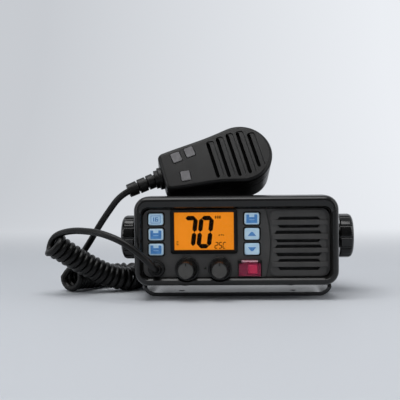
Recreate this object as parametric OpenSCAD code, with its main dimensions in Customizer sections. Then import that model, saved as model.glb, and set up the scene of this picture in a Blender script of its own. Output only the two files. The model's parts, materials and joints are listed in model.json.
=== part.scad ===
// Compact marine radio on a tilting yoke, with a fist microphone on top and
// a curly cord folded on the surface at the left.
// +X is to the right of the screen, -Y is towards the user, +Z is up.
// The origin is the middle of the yoke's four screw holes, on its underside.

/* [Housing] */
// Width of the front housing
front_w = 157.5; // [150:0.5:160]
// Height of the front housing
front_h = 69; // [67:0.5:70]
// Distance from the tilt axis forward to the rim
front_y = 50; // [48:0.5:52]
// Width of the case behind the front housing
case_w = 140; // [136:0.5:140]
// Height of the case
case_h = 62.4; // [61:0.1:62.4]
// Depth of the case behind the front housing
case_d = 73; // [65:0.5:76]

/* [Screen and keys] */
// Width of the clear screen
screen_w = 46; // [44:0.5:47]
// Height of the clear screen
screen_h = 29; // [27:0.5:29.5]
// Width of one front key
key_w = 11.3; // [10:0.1:11.4]
// Height of one front key
key_h = 8.8; // [8:0.1:8.9]
// How far a key goes in
key_travel = 1; // [0.6:0.1:1.2]

/* [Knobs] */
// Length of the two small knobs
dial_len = 14.6; // [12:0.2:16]
// Diameter of the side clamp knobs
clamp_d = 36; // [32:0.5:36]
// Thickness of the side clamp knobs
clamp_t = 11; // [10:0.2:12]

/* [Yoke] */
// Height of the tilt axis above the surface
axis_z = 46; // [46:0.5:48]
// Thickness of the yoke plate
yoke_t = 3; // [2.5:0.5:3]
// Depth of the yoke's base, front to back
yoke_d = 50; // [44:1:54]
// Spacing of the base screw holes across
hole_x = 90; // [70:5:110]
// Spacing of the base screw holes front to back
hole_y = 30; // [24:1:32]

/* [Hidden] */
eps = 0.01;
gap = 0.3;
run = 0.05;
// front housing
fy = -front_y;
rim_back = fy + 28;
face_y = fy + 5;
face_t = 2.5;
fz = axis_z;
panel_w = 143.6;
panel_h = 52.2;
panel_z = axis_z - 1.95;
divide_r = 100;
divide_x = 26.2;
// case
case_z = axis_z - 0.4;
gasket_t = 1;
board_y = face_y + 10.4;
screw_x = case_w / 2 - 7;
screw_z = case_h / 2 - 6.2;
board_w = front_w - 20.5;
board_h = front_h - 13;
case_y = rim_back + gasket_t;
case_back = case_y + case_d;
wall = 2.5;
// screen
screen_x = -24.7;
screen_z = axis_z + 7.4;
// key places
left_x = -61.7;
right_x = 12.3;
key_zs = [axis_z + 16.9, axis_z + 5.2, axis_z - 6.4];
key_front = face_y - 2;
cup_w = key_w + 2.3;
cup_h = key_h + 2;
// dials
dial_z = axis_z - 21.5;
volume_x = -37.9;
squelch_x = -12.4;
shaft_r = 3;
volume_r = 9.4;
squelch_r = 9.2;
gland_x = -61.5;
// distress key
flap_x0 = 2.1;
flap_x1 = 18.8;
flap_z0 = axis_z - 27.1;
flap_z1 = axis_z - 16.4;
pin_y = face_y - 2.5;
pin_z = flap_z1 + 0.5;
pin_r = 0.6;
red_x = 12.7;
red_z = axis_z - 22;
// speaker
horn_x = 48.6;
horn_z = axis_z - 3;
grille_x1 = 70.2;
bar_zs = [axis_z + 13.4, axis_z + 2.6, axis_z - 8.2, axis_z - 18.9];
// yoke and clamps
yoke_x = case_w / 2 + 6;
yoke_r = 11;
arm_r = 15.4;
arm_in = yoke_x - yoke_t;
screw_r = 2.5;
knob_in = yoke_x + 7.4;
knob_out = knob_in + clamp_t;
// microphone: its own frame has X along the body, -Y out of its face
mic_at = [4.1, -10, case_z + case_h / 2 + 37.9];
mic_turn = 5;
mic_lean = -26;
mic_tilt = -14.5;
mr = 25.8;
mfr = 24.2;
mnx = -61.5;
mnz = 12;
mnr = 5;
mic_t = 38;
mic_keys = [[-52, 9.6, 7], [-40.3, 11.6, 7], [-49, -8.4, -5]];
mic_grooves = [[-22, 16.6], [-13.3, 18], [-4.6, 19.6], [4.1, 19.6], [12.8, 15.4]];
mkw = 7.4;
mkh = 8.4;
talk_x = -26;
talk_a = 8.4;
boot_at = [mnx - mnr, 11.5, 0];
boot_dip = 10;
// cord
wire_d = 5;
coil_d = 19.5;
gland_path = [[-61.5, -49, 24.5], [-61.8, -53, 24.8], [-65, -59, 29], [-75.5, -61, 39.4], [-84.5, -60, 45.3],
  [-95.7, -56, 49.6], [-107.5, -50, 52.4], [-122.3, -41, 53.4], [-136.3, -30, 52.2], [-144.3, -22, 49.8],
  [-148.4, -15.1, 46.9], [-152.1, -14.5, 40.8], [-153.1, -18.6, 35.6], [-149.5, -22.5, 33.5]];
coil_path = [[-147, -22, 41], [-135.5, -16, 32.3], [-122.5, -8, 22.6], [-107, 0, 13.6], [-95, 6, 10],
  [-88.5, 14, 10], [-87.5, 24, 10], [-88.5, 34, 10], [-93, 41, 10], [-100, 43, 10], [-107.5, 39, 10],
  [-117, 29, 10], [-129.5, 15.5, 10], [-139.3, 0.5, 10.6]];
tail_path = [[-87.3, -19.6, 84], [-91.4, -20, 82], [-96.4, -19, 77.5], [-102.4, -15, 70.5], [-112.4, -9, 57.5],
  [-122.6, -1, 43], [-131.2, 4, 31.5], [-139.3, 6.6, 22], [-145, 6, 15.5], [-145.6, 4.8, 10]];

// ---- shapes used by more than one piece ----
module round_rect(w, h, r) {
  union() {
    square([w - 2 * r, h], center = true);
    square([w, h - 2 * r], center = true);
    for (i = [-1, 1], j = [-1, 1])
      translate([i * (w / 2 - r), j * (h / 2 - r)]) circle(r = r, $fn = 32);
  }
}

// a flat shape drawn in X and Z, thick from y0 back to y1
module plate_y(y0, y1) {
  translate([0, y1, 0]) rotate([90, 0, 0]) linear_extrude(height = y1 - y0) children();
}

module rod_y(x, z, y0, y1, r) {
  translate([x, y1, z]) rotate([90, 0, 0]) cylinder(h = y1 - y0, r = r, $fn = 48);
}

module rod_x(x0, x1, y, z, r) {
  translate([x0, y, z]) rotate([0, 90, 0]) cylinder(h = x1 - x0, r = r, $fn = 48);
}

module box_at(x0, x1, y0, y1, z0, z1) {
  translate([x0, y0, z0]) cube([x1 - x0, y1 - y0, z1 - z0]);
}

module at_each_key() {
  for (x = [left_x, right_x], z = key_zs) translate([x, z]) children();
}

// ---- yoke ----
module mount_bracket() color([0.13, 0.13, 0.14]) {
  difference() {
    intersection() {
      translate([0, yoke_d / 2, 0]) rotate([90, 0, 0]) linear_extrude(height = yoke_d) difference() {
        translate([0, 40]) round_rect(2 * yoke_x, 80, yoke_r);
        translate([0, 40 + yoke_t]) round_rect(2 * arm_in, 80, yoke_r - yoke_t);
        translate([0, 90]) square([200, 40], center = true);
      }
      rotate([90, 0, 90]) linear_extrude(height = 2 * yoke_x + 40, center = true) union() {
        polygon([[-yoke_d / 2, 0], [yoke_d / 2, 0], [yoke_d / 2, 7], [arm_r, 20], [arm_r, axis_z],
          [-arm_r, axis_z], [-arm_r, 8.4], [-yoke_d / 2, 7]]);
        translate([0, axis_z]) circle(r = arm_r, $fn = 64);
      }
    }
    rod_x(-yoke_x - 4, yoke_x + 4, 0, axis_z, screw_r + gap);
    for (i = [-1, 1], j = [-1, 1])
      translate([i * hole_x / 2, j * hole_y / 2, -1]) cylinder(h = yoke_t + 2, r = 2.5, $fn = 48);
  }
}

// ---- front housing ----
module front_bezel() color([0.1, 0.1, 0.105]) {
  difference() {
    translate([0, 0, fz]) union() {
      plate_y(fy + 6, rim_back) round_rect(front_w, front_h, 11);
      plate_y(fy + 2.5, fy + 6.5) round_rect(front_w - 1.6, front_h - 1.6, 10.5);
      plate_y(fy, fy + 3) round_rect(front_w - 5, front_h - 5, 9.5);
    }
    translate([0, 0, panel_z]) plate_y(fy - 1, fy + 2) round_rect(panel_w + 3.4, panel_h + 5.6, 7.5);
    translate([0, 0, panel_z]) plate_y(fy - 1, face_y + face_t) round_rect(panel_w + 0.2, panel_h + 0.2, 6);
    translate([0, 0, panel_z]) plate_y(fy, face_y + face_t + 4) round_rect(panel_w - 2.4, panel_h - 2.4, 4);
    difference() {
      translate([0, 0, fz]) plate_y(face_y + face_t + 3, rim_back - 3) round_rect(front_w - 8, front_h - 7, 8);
      for (i = [-1, 1], j = [-1, 1]) {
        rod_y(i * screw_x, case_z + j * screw_z, rim_back - 8, rim_back, 4.5);
        rod_y(i * (board_w / 2 - 8), fz - 1 + j * (board_h / 2 - 2.4), face_y, board_y, 2.5);
      }
    }
    difference() {
      translate([0, 0, case_z]) plate_y(rim_back - 4, rim_back + 1) round_rect(case_w - 8, case_h - 8.4, 4);
      for (i = [-1, 1], j = [-1, 1]) rod_y(i * screw_x, case_z + j * screw_z, rim_back - 8, rim_back, 4.5);
    }
    for (i = [-1, 1], j = [-1, 1]) rod_y(i * screw_x, case_z + j * screw_z, rim_back - 7, rim_back + 1, 1.65);
    rod_y(volume_x, dial_z, fy - 1, face_y + face_t, volume_r + 2 * gap);
    rod_y(squelch_x, dial_z, fy - 1, face_y + face_t, squelch_r + 2 * gap);
    box_at(flap_x0 - 1.2, flap_x1 + 0.9, face_y, face_y + face_t + 4.1, flap_z0 - 1, flap_z1 + 2);
  }
}

module divide_disc(r) {
  translate([divide_x - divide_r, panel_z]) circle(r = r, $fn = 180);
}

module control_panel() color([0.17, 0.17, 0.175]) {
  difference() {
    plate_y(face_y, face_y + face_t) difference() {
      intersection() {
        translate([0, panel_z]) round_rect(panel_w, panel_h, 6);
        divide_disc(divide_r);
      }
      translate([screen_x, screen_z - 0.3]) round_rect(screen_w + 6, screen_h + 5.4, 2);
      at_each_key() round_rect(cup_w, cup_h, 2);
      translate([(flap_x0 + flap_x1) / 2, (flap_z0 + flap_z1) / 2]) square([18.6, 13], center = true);
      translate([volume_x, dial_z]) circle(r = 3.6, $fn = 48);
      translate([squelch_x, dial_z]) circle(r = 3.6, $fn = 48);
      translate([gland_x, dial_z]) circle(r = 5, $fn = 48);
      translate([-23.8, dial_z + 0.3]) circle(r = 0.8, $fn = 24);
    }
  }
}

module speaker_grille() color([0.17, 0.17, 0.175]) {
  union() {
    difference() {
      plate_y(face_y + 0.6, face_y + face_t) difference() {
        translate([0, panel_z]) intersection() {
          round_rect(panel_w, panel_h, 6);
          translate([50, 0]) square([100, panel_h + 1], center = true);
        }
        divide_disc(divide_r + gap);
        for (z = bar_zs) translate([horn_x - 0.6, z + 3.1]) square([36, 2.3], center = true);
        for (z = bar_zs) translate([horn_x - 0.6, z - 3.4]) square([38, 1.6], center = true);
      }
    }
    difference() {
      plate_y(face_y - 0.6, face_y + 0.7) difference() {
        intersection() {
          translate([horn_x + 0.5, horn_z]) round_rect(43.4, 50.8, 3.6);
          translate([0, panel_z]) round_rect(panel_w - 0.4, panel_h - 0.4, 6);
        }
        divide_disc(divide_r + 1);
        for (z = bar_zs) translate([horn_x - 0.6, z + 3.1]) square([36, 2.3], center = true);
        for (z = bar_zs) translate([horn_x - 0.6, z - 3.4]) square([38, 1.6], center = true);
      }
    }
    for (z = bar_zs) plate_y(face_y - 1.5, face_y - 0.5) intersection() {
      translate([horn_x, z]) square([44.6, 3.6], center = true);
      difference() {
        square([300, 300], center = true);
        divide_disc(divide_r + 0.6);
      }
    }
  }
}

module window_surround() color([0.05, 0.05, 0.05]) {
  plate_y(face_y - 0.8, face_y + face_t) difference() {
    translate([screen_x, screen_z - 0.3]) round_rect(screen_w + 5.8, screen_h + 5.2, 2);
    translate([screen_x, screen_z]) round_rect(screen_w + 0.1, screen_h + 0.1, 0.8);
  }
}

module display_window() color([0.95, 0.62, 0.2, 0.5]) {
  plate_y(face_y + 0.4, face_y + 1.9) translate([screen_x, screen_z]) round_rect(screen_w, screen_h, 0.8);
}

module display_panel() color([0.95, 0.55, 0.15]) {
  union() {
    plate_y(face_y + 1.9, face_y + 3) translate([screen_x, screen_z])
      round_rect(screen_w - 0.4, screen_h - 0.4, 0.6);
    plate_y(face_y + face_t, face_y + 7.5) translate([screen_x, screen_z - 0.3])
      square([screen_w + 4, screen_h + 2], center = true);
  }
}

module key_surrounds() color([0.08, 0.08, 0.08]) {
  plate_y(face_y - 0.4, face_y + face_t) at_each_key() difference() {
    round_rect(cup_w, cup_h, 2);
    round_rect(key_w + 2 * gap, key_h + 2 * gap, 1.5);
  }
}

module front_key(x, z) {
  union() {
    plate_y(key_front, face_y + 4.4) translate([x, z]) round_rect(key_w, key_h, 1.2);
    plate_y(face_y + face_t + gap, face_y + 4.4) translate([x, z]) square([key_w + 1.6, key_h + 1.4], center = true);
  }
}

module key_16() color([0.62, 0.8, 0.94]) front_key(left_x, key_zs[0]);
module key_left_middle() color([0.62, 0.8, 0.94]) front_key(left_x, key_zs[1]);
module key_left_low() color([0.62, 0.8, 0.94]) front_key(left_x, key_zs[2]);
module key_right_top() color([0.62, 0.8, 0.94]) front_key(right_x, key_zs[0]);
module key_up() color([0.62, 0.8, 0.94]) front_key(right_x, key_zs[1]);
module key_down() color([0.62, 0.8, 0.94]) front_key(right_x, key_zs[2]);

// ---- dials ----
module dial(x, r) {
  difference() {
    translate([x, face_y - 0.4, dial_z]) rotate([90, 0, 0]) rotate_extrude($fn = 64)
      polygon([[0, 0], [r, 0], [r, 2.2], [r - 1, 2.8], [r * 0.72, dial_len - 2],
        [r * 0.6, dial_len], [0, dial_len]]);
    rod_y(x, dial_z, face_y - 12, face_y + 1, shaft_r);
    box_at(x - 0.5, x + 0.5, face_y - dial_len - 2, face_y - dial_len + 0.4, dial_z + 1.5, dial_z + r);
    for (a = [-60 : 30 : 60]) translate([x, 0, dial_z]) rotate([0, a, 0])
      translate([-0.5, face_y - 12, r - 0.7]) cube([1, 12, 2]);
  }
}

module volume_knob() color([0.09, 0.09, 0.09]) dial(volume_x, volume_r);
module squelch_knob() color([0.09, 0.09, 0.09]) dial(squelch_x, squelch_r);

module dial_shaft(x) {
  rod_y(x, dial_z, face_y - 12, face_y + 9, shaft_r);
}

module volume_shaft() color([0.75, 0.75, 0.77]) dial_shaft(volume_x);
module squelch_shaft() color([0.75, 0.75, 0.77]) dial_shaft(squelch_x);

module control_pots() color([0.55, 0.56, 0.58]) {
  for (x = [volume_x, squelch_x]) difference() {
    union() {
      rod_y(x, dial_z, face_y + 0.2, face_y + 4, 3.6);
      box_at(x - 6, x + 6, face_y + 3.6, board_y, dial_z - 5, dial_z + 5);
    }
    rod_y(x, dial_z, face_y - 1, face_y + 9.4, shaft_r + run);
  }
}

// ---- distress key under its flap ----
module distress_frame() color([0.06, 0.06, 0.06]) {
  difference() {
    union() {
      box_at(flap_x0 - 0.95, flap_x1 + 0.65, face_y - 1, face_y + face_t + 3, flap_z0 - 1, flap_z1 + 1.15);
      for (x = [flap_x0 + 0.3, flap_x1 - 2.1]) {
        box_at(x, x + 1.8, pin_y, face_y, pin_z - 0.65, pin_z + 0.65 + eps);
        rod_x(x, x + 1.8, pin_y, pin_z, 1.3);
      }
    }
    box_at(flap_x0 + 0.6, flap_x1 - 0.6, face_y - 3, face_y + 1.6, flap_z0 + 0.6, flap_z1 - 1.6);
    box_at(red_x - 3.4 - gap, red_x + 3.4 + gap, face_y, face_y + 8, red_z - 3.4 - gap, red_z + 3.4 + gap);
    rod_x(flap_x0 - 2, flap_x1 + 2, pin_y, pin_z, pin_r);
  }
}

module distress_cover_pin() color([0.7, 0.7, 0.72]) {
  rod_x(flap_x0 + 0.3, flap_x1 - 0.3, pin_y, pin_z, pin_r);
}

module distress_cover() color([0.85, 0.1, 0.3, 0.6]) {
  difference() {
    union() {
      box_at(flap_x0 + 2.4, flap_x1 - 2.4, pin_y - 1.2, pin_y + 0.6, pin_z - 2.4, pin_z);
      rod_x(flap_x0 + 2.4, flap_x1 - 2.4, pin_y, pin_z, 1.2);
      difference() {
        box_at(flap_x0, flap_x1, face_y - 4.2, face_y - 1.3, flap_z0, flap_z1 - 1.2);
        box_at(flap_x0 + 1, flap_x1 - 1, face_y - 3.1, face_y, flap_z0 + 1, flap_z1 - 2);
      }
    }
    rod_x(flap_x0, flap_x1, pin_y, pin_z, pin_r + run);
  }
}

module distress_button() color([0.85, 0.08, 0.16]) {
  union() {
    box_at(red_x - 3.4, red_x + 3.4, face_y - 0.4, face_y + 6.6, red_z - 3.4, red_z + 3.4);
    box_at(red_x - 4.6, red_x + 4.6, face_y + face_t + 3 + gap, face_y + 6.6, red_z - 4.4, red_z + 4.4);
  }
}

module mic_cable_gland() color([0.07, 0.07, 0.07]) {
  difference() {
    translate([gland_x, face_y + face_t + 1.5, dial_z]) rotate([90, 0, 0]) rotate_extrude($fn = 48)
      polygon([[wire_d / 2, 0], [5, 0], [5, 4], [6.5, 4], [6.5, 5.6],
        [5.8, 6.8], [4.6, 6.8], [3.7, 8], [3.4, 11], [wire_d / 2, 11]]);
  }
}

module front_board() color([0.05, 0.3, 0.14]) {
  difference() {
    translate([0, 0, fz - 1]) plate_y(board_y, board_y + 1.6) round_rect(board_w, board_h, 3);
    rod_y(horn_x, horn_z, face_y + 8, face_y + 15, 22);
  }
}

// ---- case ----
module rear_chassis() color([0.1, 0.1, 0.105]) {
  difference() {
    union() {
      difference() {
        translate([0, 0, case_z]) plate_y(case_y, case_back) round_rect(case_w, case_h, 6);
        translate([0, 0, case_z]) plate_y(case_y - 1, case_back - 3.5) round_rect(case_w - 2 * wall, case_h - 2 * wall, 4);
      }
      for (i = [-1, 1]) rod_x(i > 0 ? case_w / 2 - 11 : -case_w / 2 + 1, i > 0 ? case_w / 2 - 1 : -case_w / 2 + 11, 0, axis_z, 7);
      for (x = [-56 : 8 : 56]) if (x < -34 || (x > -8 && x < 34) || x > 50)
        box_at(x - 1, x + 1, case_back - 0.5, case_back + 6, case_z - case_h / 2 + 5.2, case_z + case_h / 2 - 5.2);
      for (i = [-1, 1], j = [-1, 1]) rod_y(i * screw_x, case_z + j * screw_z, case_y, case_back - 3, 4);
      for (x = [-40, 40]) rod_y(x, case_z - 22, case_back - 20, case_back - 3, 3);
      box_at(4 - case_w / 2, case_w / 2 - 4, case_y + 4, case_back - 8,
        case_z - case_h / 2 + 1.7, case_z - case_h / 2 + 4.2);
    }
    for (i = [-1, 1], j = [-1, 1]) rod_y(i * screw_x, case_z + j * screw_z, case_y - 1, case_back + 8, 1.7);
    for (i = [-1, 1]) rod_x(i > 0 ? case_w / 2 - 12 : -case_w / 2 - 1, i > 0 ? case_w / 2 + 1 : -case_w / 2 + 12, 0, axis_z, 4);
    rod_y(-20, axis_z + 4, case_back - 5, case_back + 8, 6);
    rod_y(42, axis_z - 8, case_back - 5, case_back + 8, 5);
    rod_y(42, axis_z + 12, case_back - 5, case_back + 8, 4);
    for (i = [-1, 1], j = [-1, 1]) rod_y(-20 + i * 9, axis_z + 4 + j * 9, case_back - 5, case_back + 1, 1.25);
  }
}

module case_gasket() color([0.25, 0.25, 0.26]) {
  translate([0, 0, case_z]) plate_y(rim_back, case_y) difference() {
    round_rect(case_w - 0.4, case_h - 0.4, 5.8);
    round_rect(case_w - 2 * wall, case_h - 2 * wall, 4);
    for (i = [-1, 1], j = [-1, 1]) translate([i * screw_x, j * screw_z]) circle(r = 2, $fn = 32);
  }
}

module rear_screws() color([0.72, 0.72, 0.74]) {
  for (i = [-1, 1], j = [-1, 1]) {
    rod_y(i * screw_x, case_z + j * screw_z, rim_back - 6, case_back + eps, 1.6);
    rod_y(i * screw_x, case_z + j * screw_z, case_back, case_back + 2.2, 3);
    rod_y(-20 + i * 9, axis_z + 4 + j * 9, case_back - 3, case_back + 2, 1.2);
    rod_y(-20 + i * 9, axis_z + 4 + j * 9, case_back + 1.5, case_back + 3, 2.3);
  }
}

module antenna_socket() color([0.78, 0.78, 0.8]) {
  difference() {
    union() {
      translate([-20, 0, axis_z + 4]) plate_y(case_back, case_back + 1.5) round_rect(25, 25, 2);
      rod_y(-20, axis_z + 4, case_back - 6, case_back + 1, 5.9);
      rod_y(-20, axis_z + 4, case_back + 1, case_back + 18, 7.9);
    }
    rod_y(-20, axis_z + 4, case_back + 9, case_back + 19, 6);
    rod_y(-20, axis_z + 4, case_back + 2, case_back + 12, 2);
    for (i = [-1, 1], j = [-1, 1]) rod_y(-20 + i * 9, axis_z + 4 + j * 9, case_back - 5, case_back + 3, 1.3);
  }
}

module grommet(x, z, r) {
  difference() {
    union() {
      rod_y(x, z, case_back - 5, case_back + 1, r);
      rod_y(x, z, case_back - 5.5, case_back - 3.5, r + 1.5);
      rod_y(x, z, case_back, case_back + 3, r + 1.5);
      rod_y(x, z, case_back + 2, case_back + 9, r - 0.8);
    }
    rod_y(x, z, case_back - 1, case_back + 10, r - 2.2);
  }
}

module power_lead_grommet() color([0.08, 0.08, 0.08]) grommet(42, axis_z - 8, 4.95);
module data_lead_grommet() color([0.08, 0.08, 0.08]) grommet(42, axis_z + 12, 3.95);

module main_board() color([0.05, 0.3, 0.14]) {
  box_at(12 - case_w / 2, case_w / 2 - 12, case_y + 8, case_back - 26, axis_z - 20.5, axis_z - 18.9);
  for (x = [-40, 40]) rod_y(x, axis_z - 20, case_back - 27, case_back - 20, 1.5);
}

module power_module() color([0.7, 0.7, 0.72]) {
  union() {
    box_at(-50, -10, case_y + 18, case_back - 30, axis_z - 18.9, axis_z - 11);
    box_at(2, 30, case_y + 14, case_y + 36, axis_z - 18.9, axis_z - 13);
    for (x = [-44 : 6 : -16]) box_at(x, x + 1.5, case_y + 20, case_back - 32, axis_z - 11.5, axis_z - 5);
  }
}

module speaker_frame() color([0.35, 0.35, 0.37]) {
  difference() {
    union() {
      rod_y(horn_x, horn_z, face_y + face_t, face_y + 4, 20.5);
      translate([horn_x, face_y + 14, horn_z]) rotate([90, 0, 0]) rotate_extrude($fn = 64)
        polygon([[0, 0], [10, 0], [10, 2], [19, 10.2], [0, 10.2]]);
      rod_y(horn_x, horn_z, face_y + 14, face_y + 21, 11);
    }
    translate([horn_x, face_y + 12.6, horn_z]) rotate([90, 0, 0]) rotate_extrude($fn = 64)
      polygon([[0, 0], [7, 0], [18, 10.2], [18, 12], [0, 12]]);
  }
}

module speaker_cone() color([0.14, 0.14, 0.15]) {
  translate([horn_x, face_y + 12.6, horn_z]) rotate([90, 0, 0]) rotate_extrude($fn = 64)
    polygon([[0, 0.2], [6.4, 0.2], [16.4, 9.2], [17.2, 9.5], [17.2, 9.9], [16, 9.9], [6, 1.9], [4, 3.2], [0, 3.8]]);
}

module side_inserts() color([0.8, 0.65, 0.35]) {
  for (i = [-1, 1]) difference() {
    rod_x(i > 0 ? case_w / 2 - 11 : -case_w / 2, i > 0 ? case_w / 2 : -case_w / 2 + 11, 0, axis_z, 4);
    rod_x(i > 0 ? case_w / 2 - 9.5 : -case_w / 2 - 1, i > 0 ? case_w / 2 + 1 : -case_w / 2 + 9.5, 0, axis_z, screw_r + run);
  }
}

module side_spacers() color([0.2, 0.2, 0.2]) {
  for (i = [-1, 1]) difference() {
    rod_x(i > 0 ? case_w / 2 : gap - arm_in, i > 0 ? arm_in - gap : -case_w / 2, 0, axis_z, 11);
    rod_x(i > 0 ? case_w / 2 - 1 : -arm_in, i > 0 ? arm_in : 1 - case_w / 2, 0, axis_z, screw_r + gap);
  }
}

// ---- side clamps, drawn on the right and mirrored for the left ----
module clamp_knob() {
  difference() {
    union() {
      rod_x(yoke_x + gap + 2, knob_in + 1, 0, axis_z, 10);
      translate([knob_in, 0, axis_z]) rotate([0, 90, 0]) rotate_extrude($fn = 72)
        polygon([[0, 0], [clamp_d / 2 - 1, 0], [clamp_d / 2, 1], [clamp_d / 2, clamp_t - 3],
          [clamp_d / 2 - 0.8, clamp_t - 1.2], [clamp_d / 2 - 2.6, clamp_t], [0, clamp_t]]);
    }
    for (a = [0 : 30 : 330]) translate([knob_in - 1, 0, axis_z]) rotate([a, 0, 0])
      translate([0, 0, clamp_d / 2 + 0.7]) rotate([0, 90, 0]) cylinder(h = clamp_t + 3, r = 1.6, $fn = 24);
    rod_x(yoke_x, knob_in + 4, 0, axis_z, screw_r);
    rod_x(knob_in - 1, knob_in + 4, 0, axis_z, 4.5);
  }
}

module clamp_screw() {
  union() {
    rod_x(case_w / 2 - 9, knob_in + 2, 0, axis_z, screw_r);
    rod_x(knob_in - 1, knob_in + 4, 0, axis_z, 4.5);
  }
}

module clamp_washer() {
  difference() {
    rod_x(yoke_x + gap, yoke_x + gap + 2, 0, axis_z, 12);
    rod_x(yoke_x, yoke_x + 4, 0, axis_z, screw_r);
  }
}

module right_clamp_knob() color([0.06, 0.06, 0.06]) clamp_knob();
module right_clamp_screw() color([0.75, 0.75, 0.77]) clamp_screw();
module right_clamp_washer() color([0.15, 0.15, 0.15]) clamp_washer();
module left_clamp_knob() color([0.06, 0.06, 0.06]) mirror([1, 0, 0]) clamp_knob();
module left_clamp_screw() color([0.75, 0.75, 0.77]) mirror([1, 0, 0]) clamp_screw();
module left_clamp_washer() color([0.15, 0.15, 0.15]) mirror([1, 0, 0]) clamp_washer();

// ---- microphone ----
module on_mic() {
  translate(mic_at) rotate([0, 0, mic_turn]) rotate([mic_lean, 0, 0]) rotate([0, mic_tilt, 0]) children();
}

// outline of the microphone: a big round end and a narrow end with corners
module mic_outline(inset) {
  r1 = mr - inset;
  r2 = max(mnr - inset, 0.6);
  p1 = r1 - 2 * eps;
  p2 = r2 - 2 * eps;
  far = sqrt(mnx * mnx + mnz * mnz);
  dir = atan2(mnz, mnx);
  t = dir - acos((r1 - r2) / far);
  union() {
    circle(r = r1, $fn = 96);
    for (j = [-1, 1]) translate([mnx, j * mnz]) circle(r = r2, $fn = 32);
    polygon([[p1 * cos(t), p1 * sin(t)], [mnx + p2 * cos(t), mnz + p2 * sin(t)],
      [mnx - p2, mnz], [mnx - p2, -mnz], [mnx + p2 * cos(t), -mnz - p2 * sin(t)], [p1 * cos(t), -p1 * sin(t)]]);
  }
}

// everything in front of the microphone's slanting back
module mic_back_cut(inset) {
  translate([0, 0, -40]) linear_extrude(height = 80)
    polygon([[40, -5], [40, 40.9 - inset], [-75, 17.2 - inset], [-75, -5]]);
}

// the slot in the microphone's upper edge that the talk button works in
module talk_slot() {
  translate([talk_x, 0, 0]) rotate([0, -talk_a, 0]) box_at(-17 - gap, 17 + gap, 6.3 - gap, 15.7 + gap, 17, 30);
}

module mic_front_shell() color([0.12, 0.12, 0.125]) on_mic() {
  difference() {
    union() {
      plate_y(2.4, 12) mic_outline(0);
      plate_y(0, 2.6) mic_outline(1.6);
    }
    plate_y(3, 13) mic_outline(3);
    for (g = mic_grooves) plate_y(-1, 1.1) translate([g[0], 0]) square([3, 2 * g[1]], center = true);
    for (k = mic_keys) plate_y(-1, 3.5) translate([k[0], k[1]]) rotate(k[2])
      round_rect(mkw + 2 * gap, mkh + 2 * gap, 1);
    talk_slot();
  }
}

module mic_rear_shell() color([0.09, 0.09, 0.095]) on_mic() {
  difference() {
    intersection() {
      plate_y(13, mic_t + 4) mic_outline(0);
      mic_back_cut(0);
    }
    intersection() {
      plate_y(12, mic_t + 4) mic_outline(3);
      mic_back_cut(3);
    }
    talk_slot();
    for (k = [[-52, 0], [14, 12], [14, -12]]) translate([k[0], 0, k[1]]) rod_y(0, 0, 12, 45, 1.3);
    rod_y(-14, 0, 20, 45, 2.5);
  }
}

module mic_gasket() color([0.3, 0.3, 0.3]) on_mic() {
  difference() {
    plate_y(12, 13) difference() {
      mic_outline(0.6);
      mic_outline(3);
    }
    talk_slot();
  }
}

module mic_ptt_button() color([0.08, 0.08, 0.08]) on_mic() {
  translate([talk_x, 0, 0]) rotate([0, -talk_a, 0]) union() {
    box_at(-17, 17, 6.3, 15.7, 15.4, 22.9);
    box_at(-19, 19, 5.7, 16.3, 15.4, 18.7);
  }
}

module mic_key(k) {
  union() {
    plate_y(-0.7, 4.5) translate([k[0], k[1]]) rotate(k[2]) round_rect(mkw, mkh, 0.9);
    plate_y(3 + gap, 4.5) translate([k[0], k[1]]) rotate(k[2]) square([mkw + 1.6, mkh + 0.2], center = true);
  }
}

module mic_key_a() color([0.4, 0.4, 0.42]) on_mic() mic_key(mic_keys[0]);
module mic_key_b() color([0.4, 0.4, 0.42]) on_mic() mic_key(mic_keys[1]);
module mic_key_c() color([0.4, 0.4, 0.42]) on_mic() mic_key(mic_keys[2]);

module mic_capsule() color([0.3, 0.3, 0.32]) on_mic() {
  union() {
    rod_y(2, 0, 3, 6, 17);
    rod_y(2, 0, 5.9, 9, 9);
  }
}

module mic_board() color([0.05, 0.3, 0.14]) on_mic() {
  difference() {
    plate_y(9, 10.6) mic_outline(4);
    translate([talk_x, 0, 0]) rotate([0, -talk_a, 0]) box_at(-20, 20, 8, 12, 13.4, 30);
  }
}

module mic_hanger_stud() color([0.75, 0.75, 0.77]) on_mic() {
  union() {
    translate([-14, 0, 0]) rod_y(0, 0, 24, 34, 2.5);
    rod_y(-14, 0, 33.9, 36.4, 5.5);
  }
}

module mic_shell_screws() color([0.7, 0.7, 0.72]) on_mic() {
  for (k = [[-52, 0], [14, 12], [14, -12]]) {
    rod_y(k[0], k[1], 10.6, 33 + k[0] * 0.2, 1.3);
  }
}

module mic_boot() color([0.07, 0.07, 0.07]) on_mic() {
  union() {
    translate(boot_at) rotate([0, -90, 0]) rotate_extrude($fn = 48)
      polygon([[0, 0], [9, 0], [9, 2.8], [7.4, 3.2], [7.4, 6], [0, 6]]);
    translate(boot_at - [6, 0, 0]) rotate([0, -boot_dip, 0]) rotate([0, -90, 0]) rotate_extrude($fn = 48)
      polygon([[0, -0.9], [4.4, -0.9], [4.4, 1.2], [6, 1.2], [6, 6.4], [3.8, 6.4], [3.8, 7.8], [5.8, 7.8],
        [5.8, 14.2], [3.6, 14.2], [3.6, 15.6], [5.6, 15.6], [5.4, 23.4], [0, 23.4]]);
  }
}

// ---- cord ----
function unit(v) = v / norm(v);
function along(p, i) = unit(p[min(i + 1, len(p) - 1)] - p[max(i - 1, 0)]);
// one ring of a tube, square to the path; the side vector leans on a fixed direction
function ring(c, t, r, n, up) = let (a = unit(cross(t, up)), b = cross(a, t))
  [for (k = [0 : n - 1]) c + r * (cos(360 * k / n) * a + sin(360 * k / n) * b)];

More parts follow.
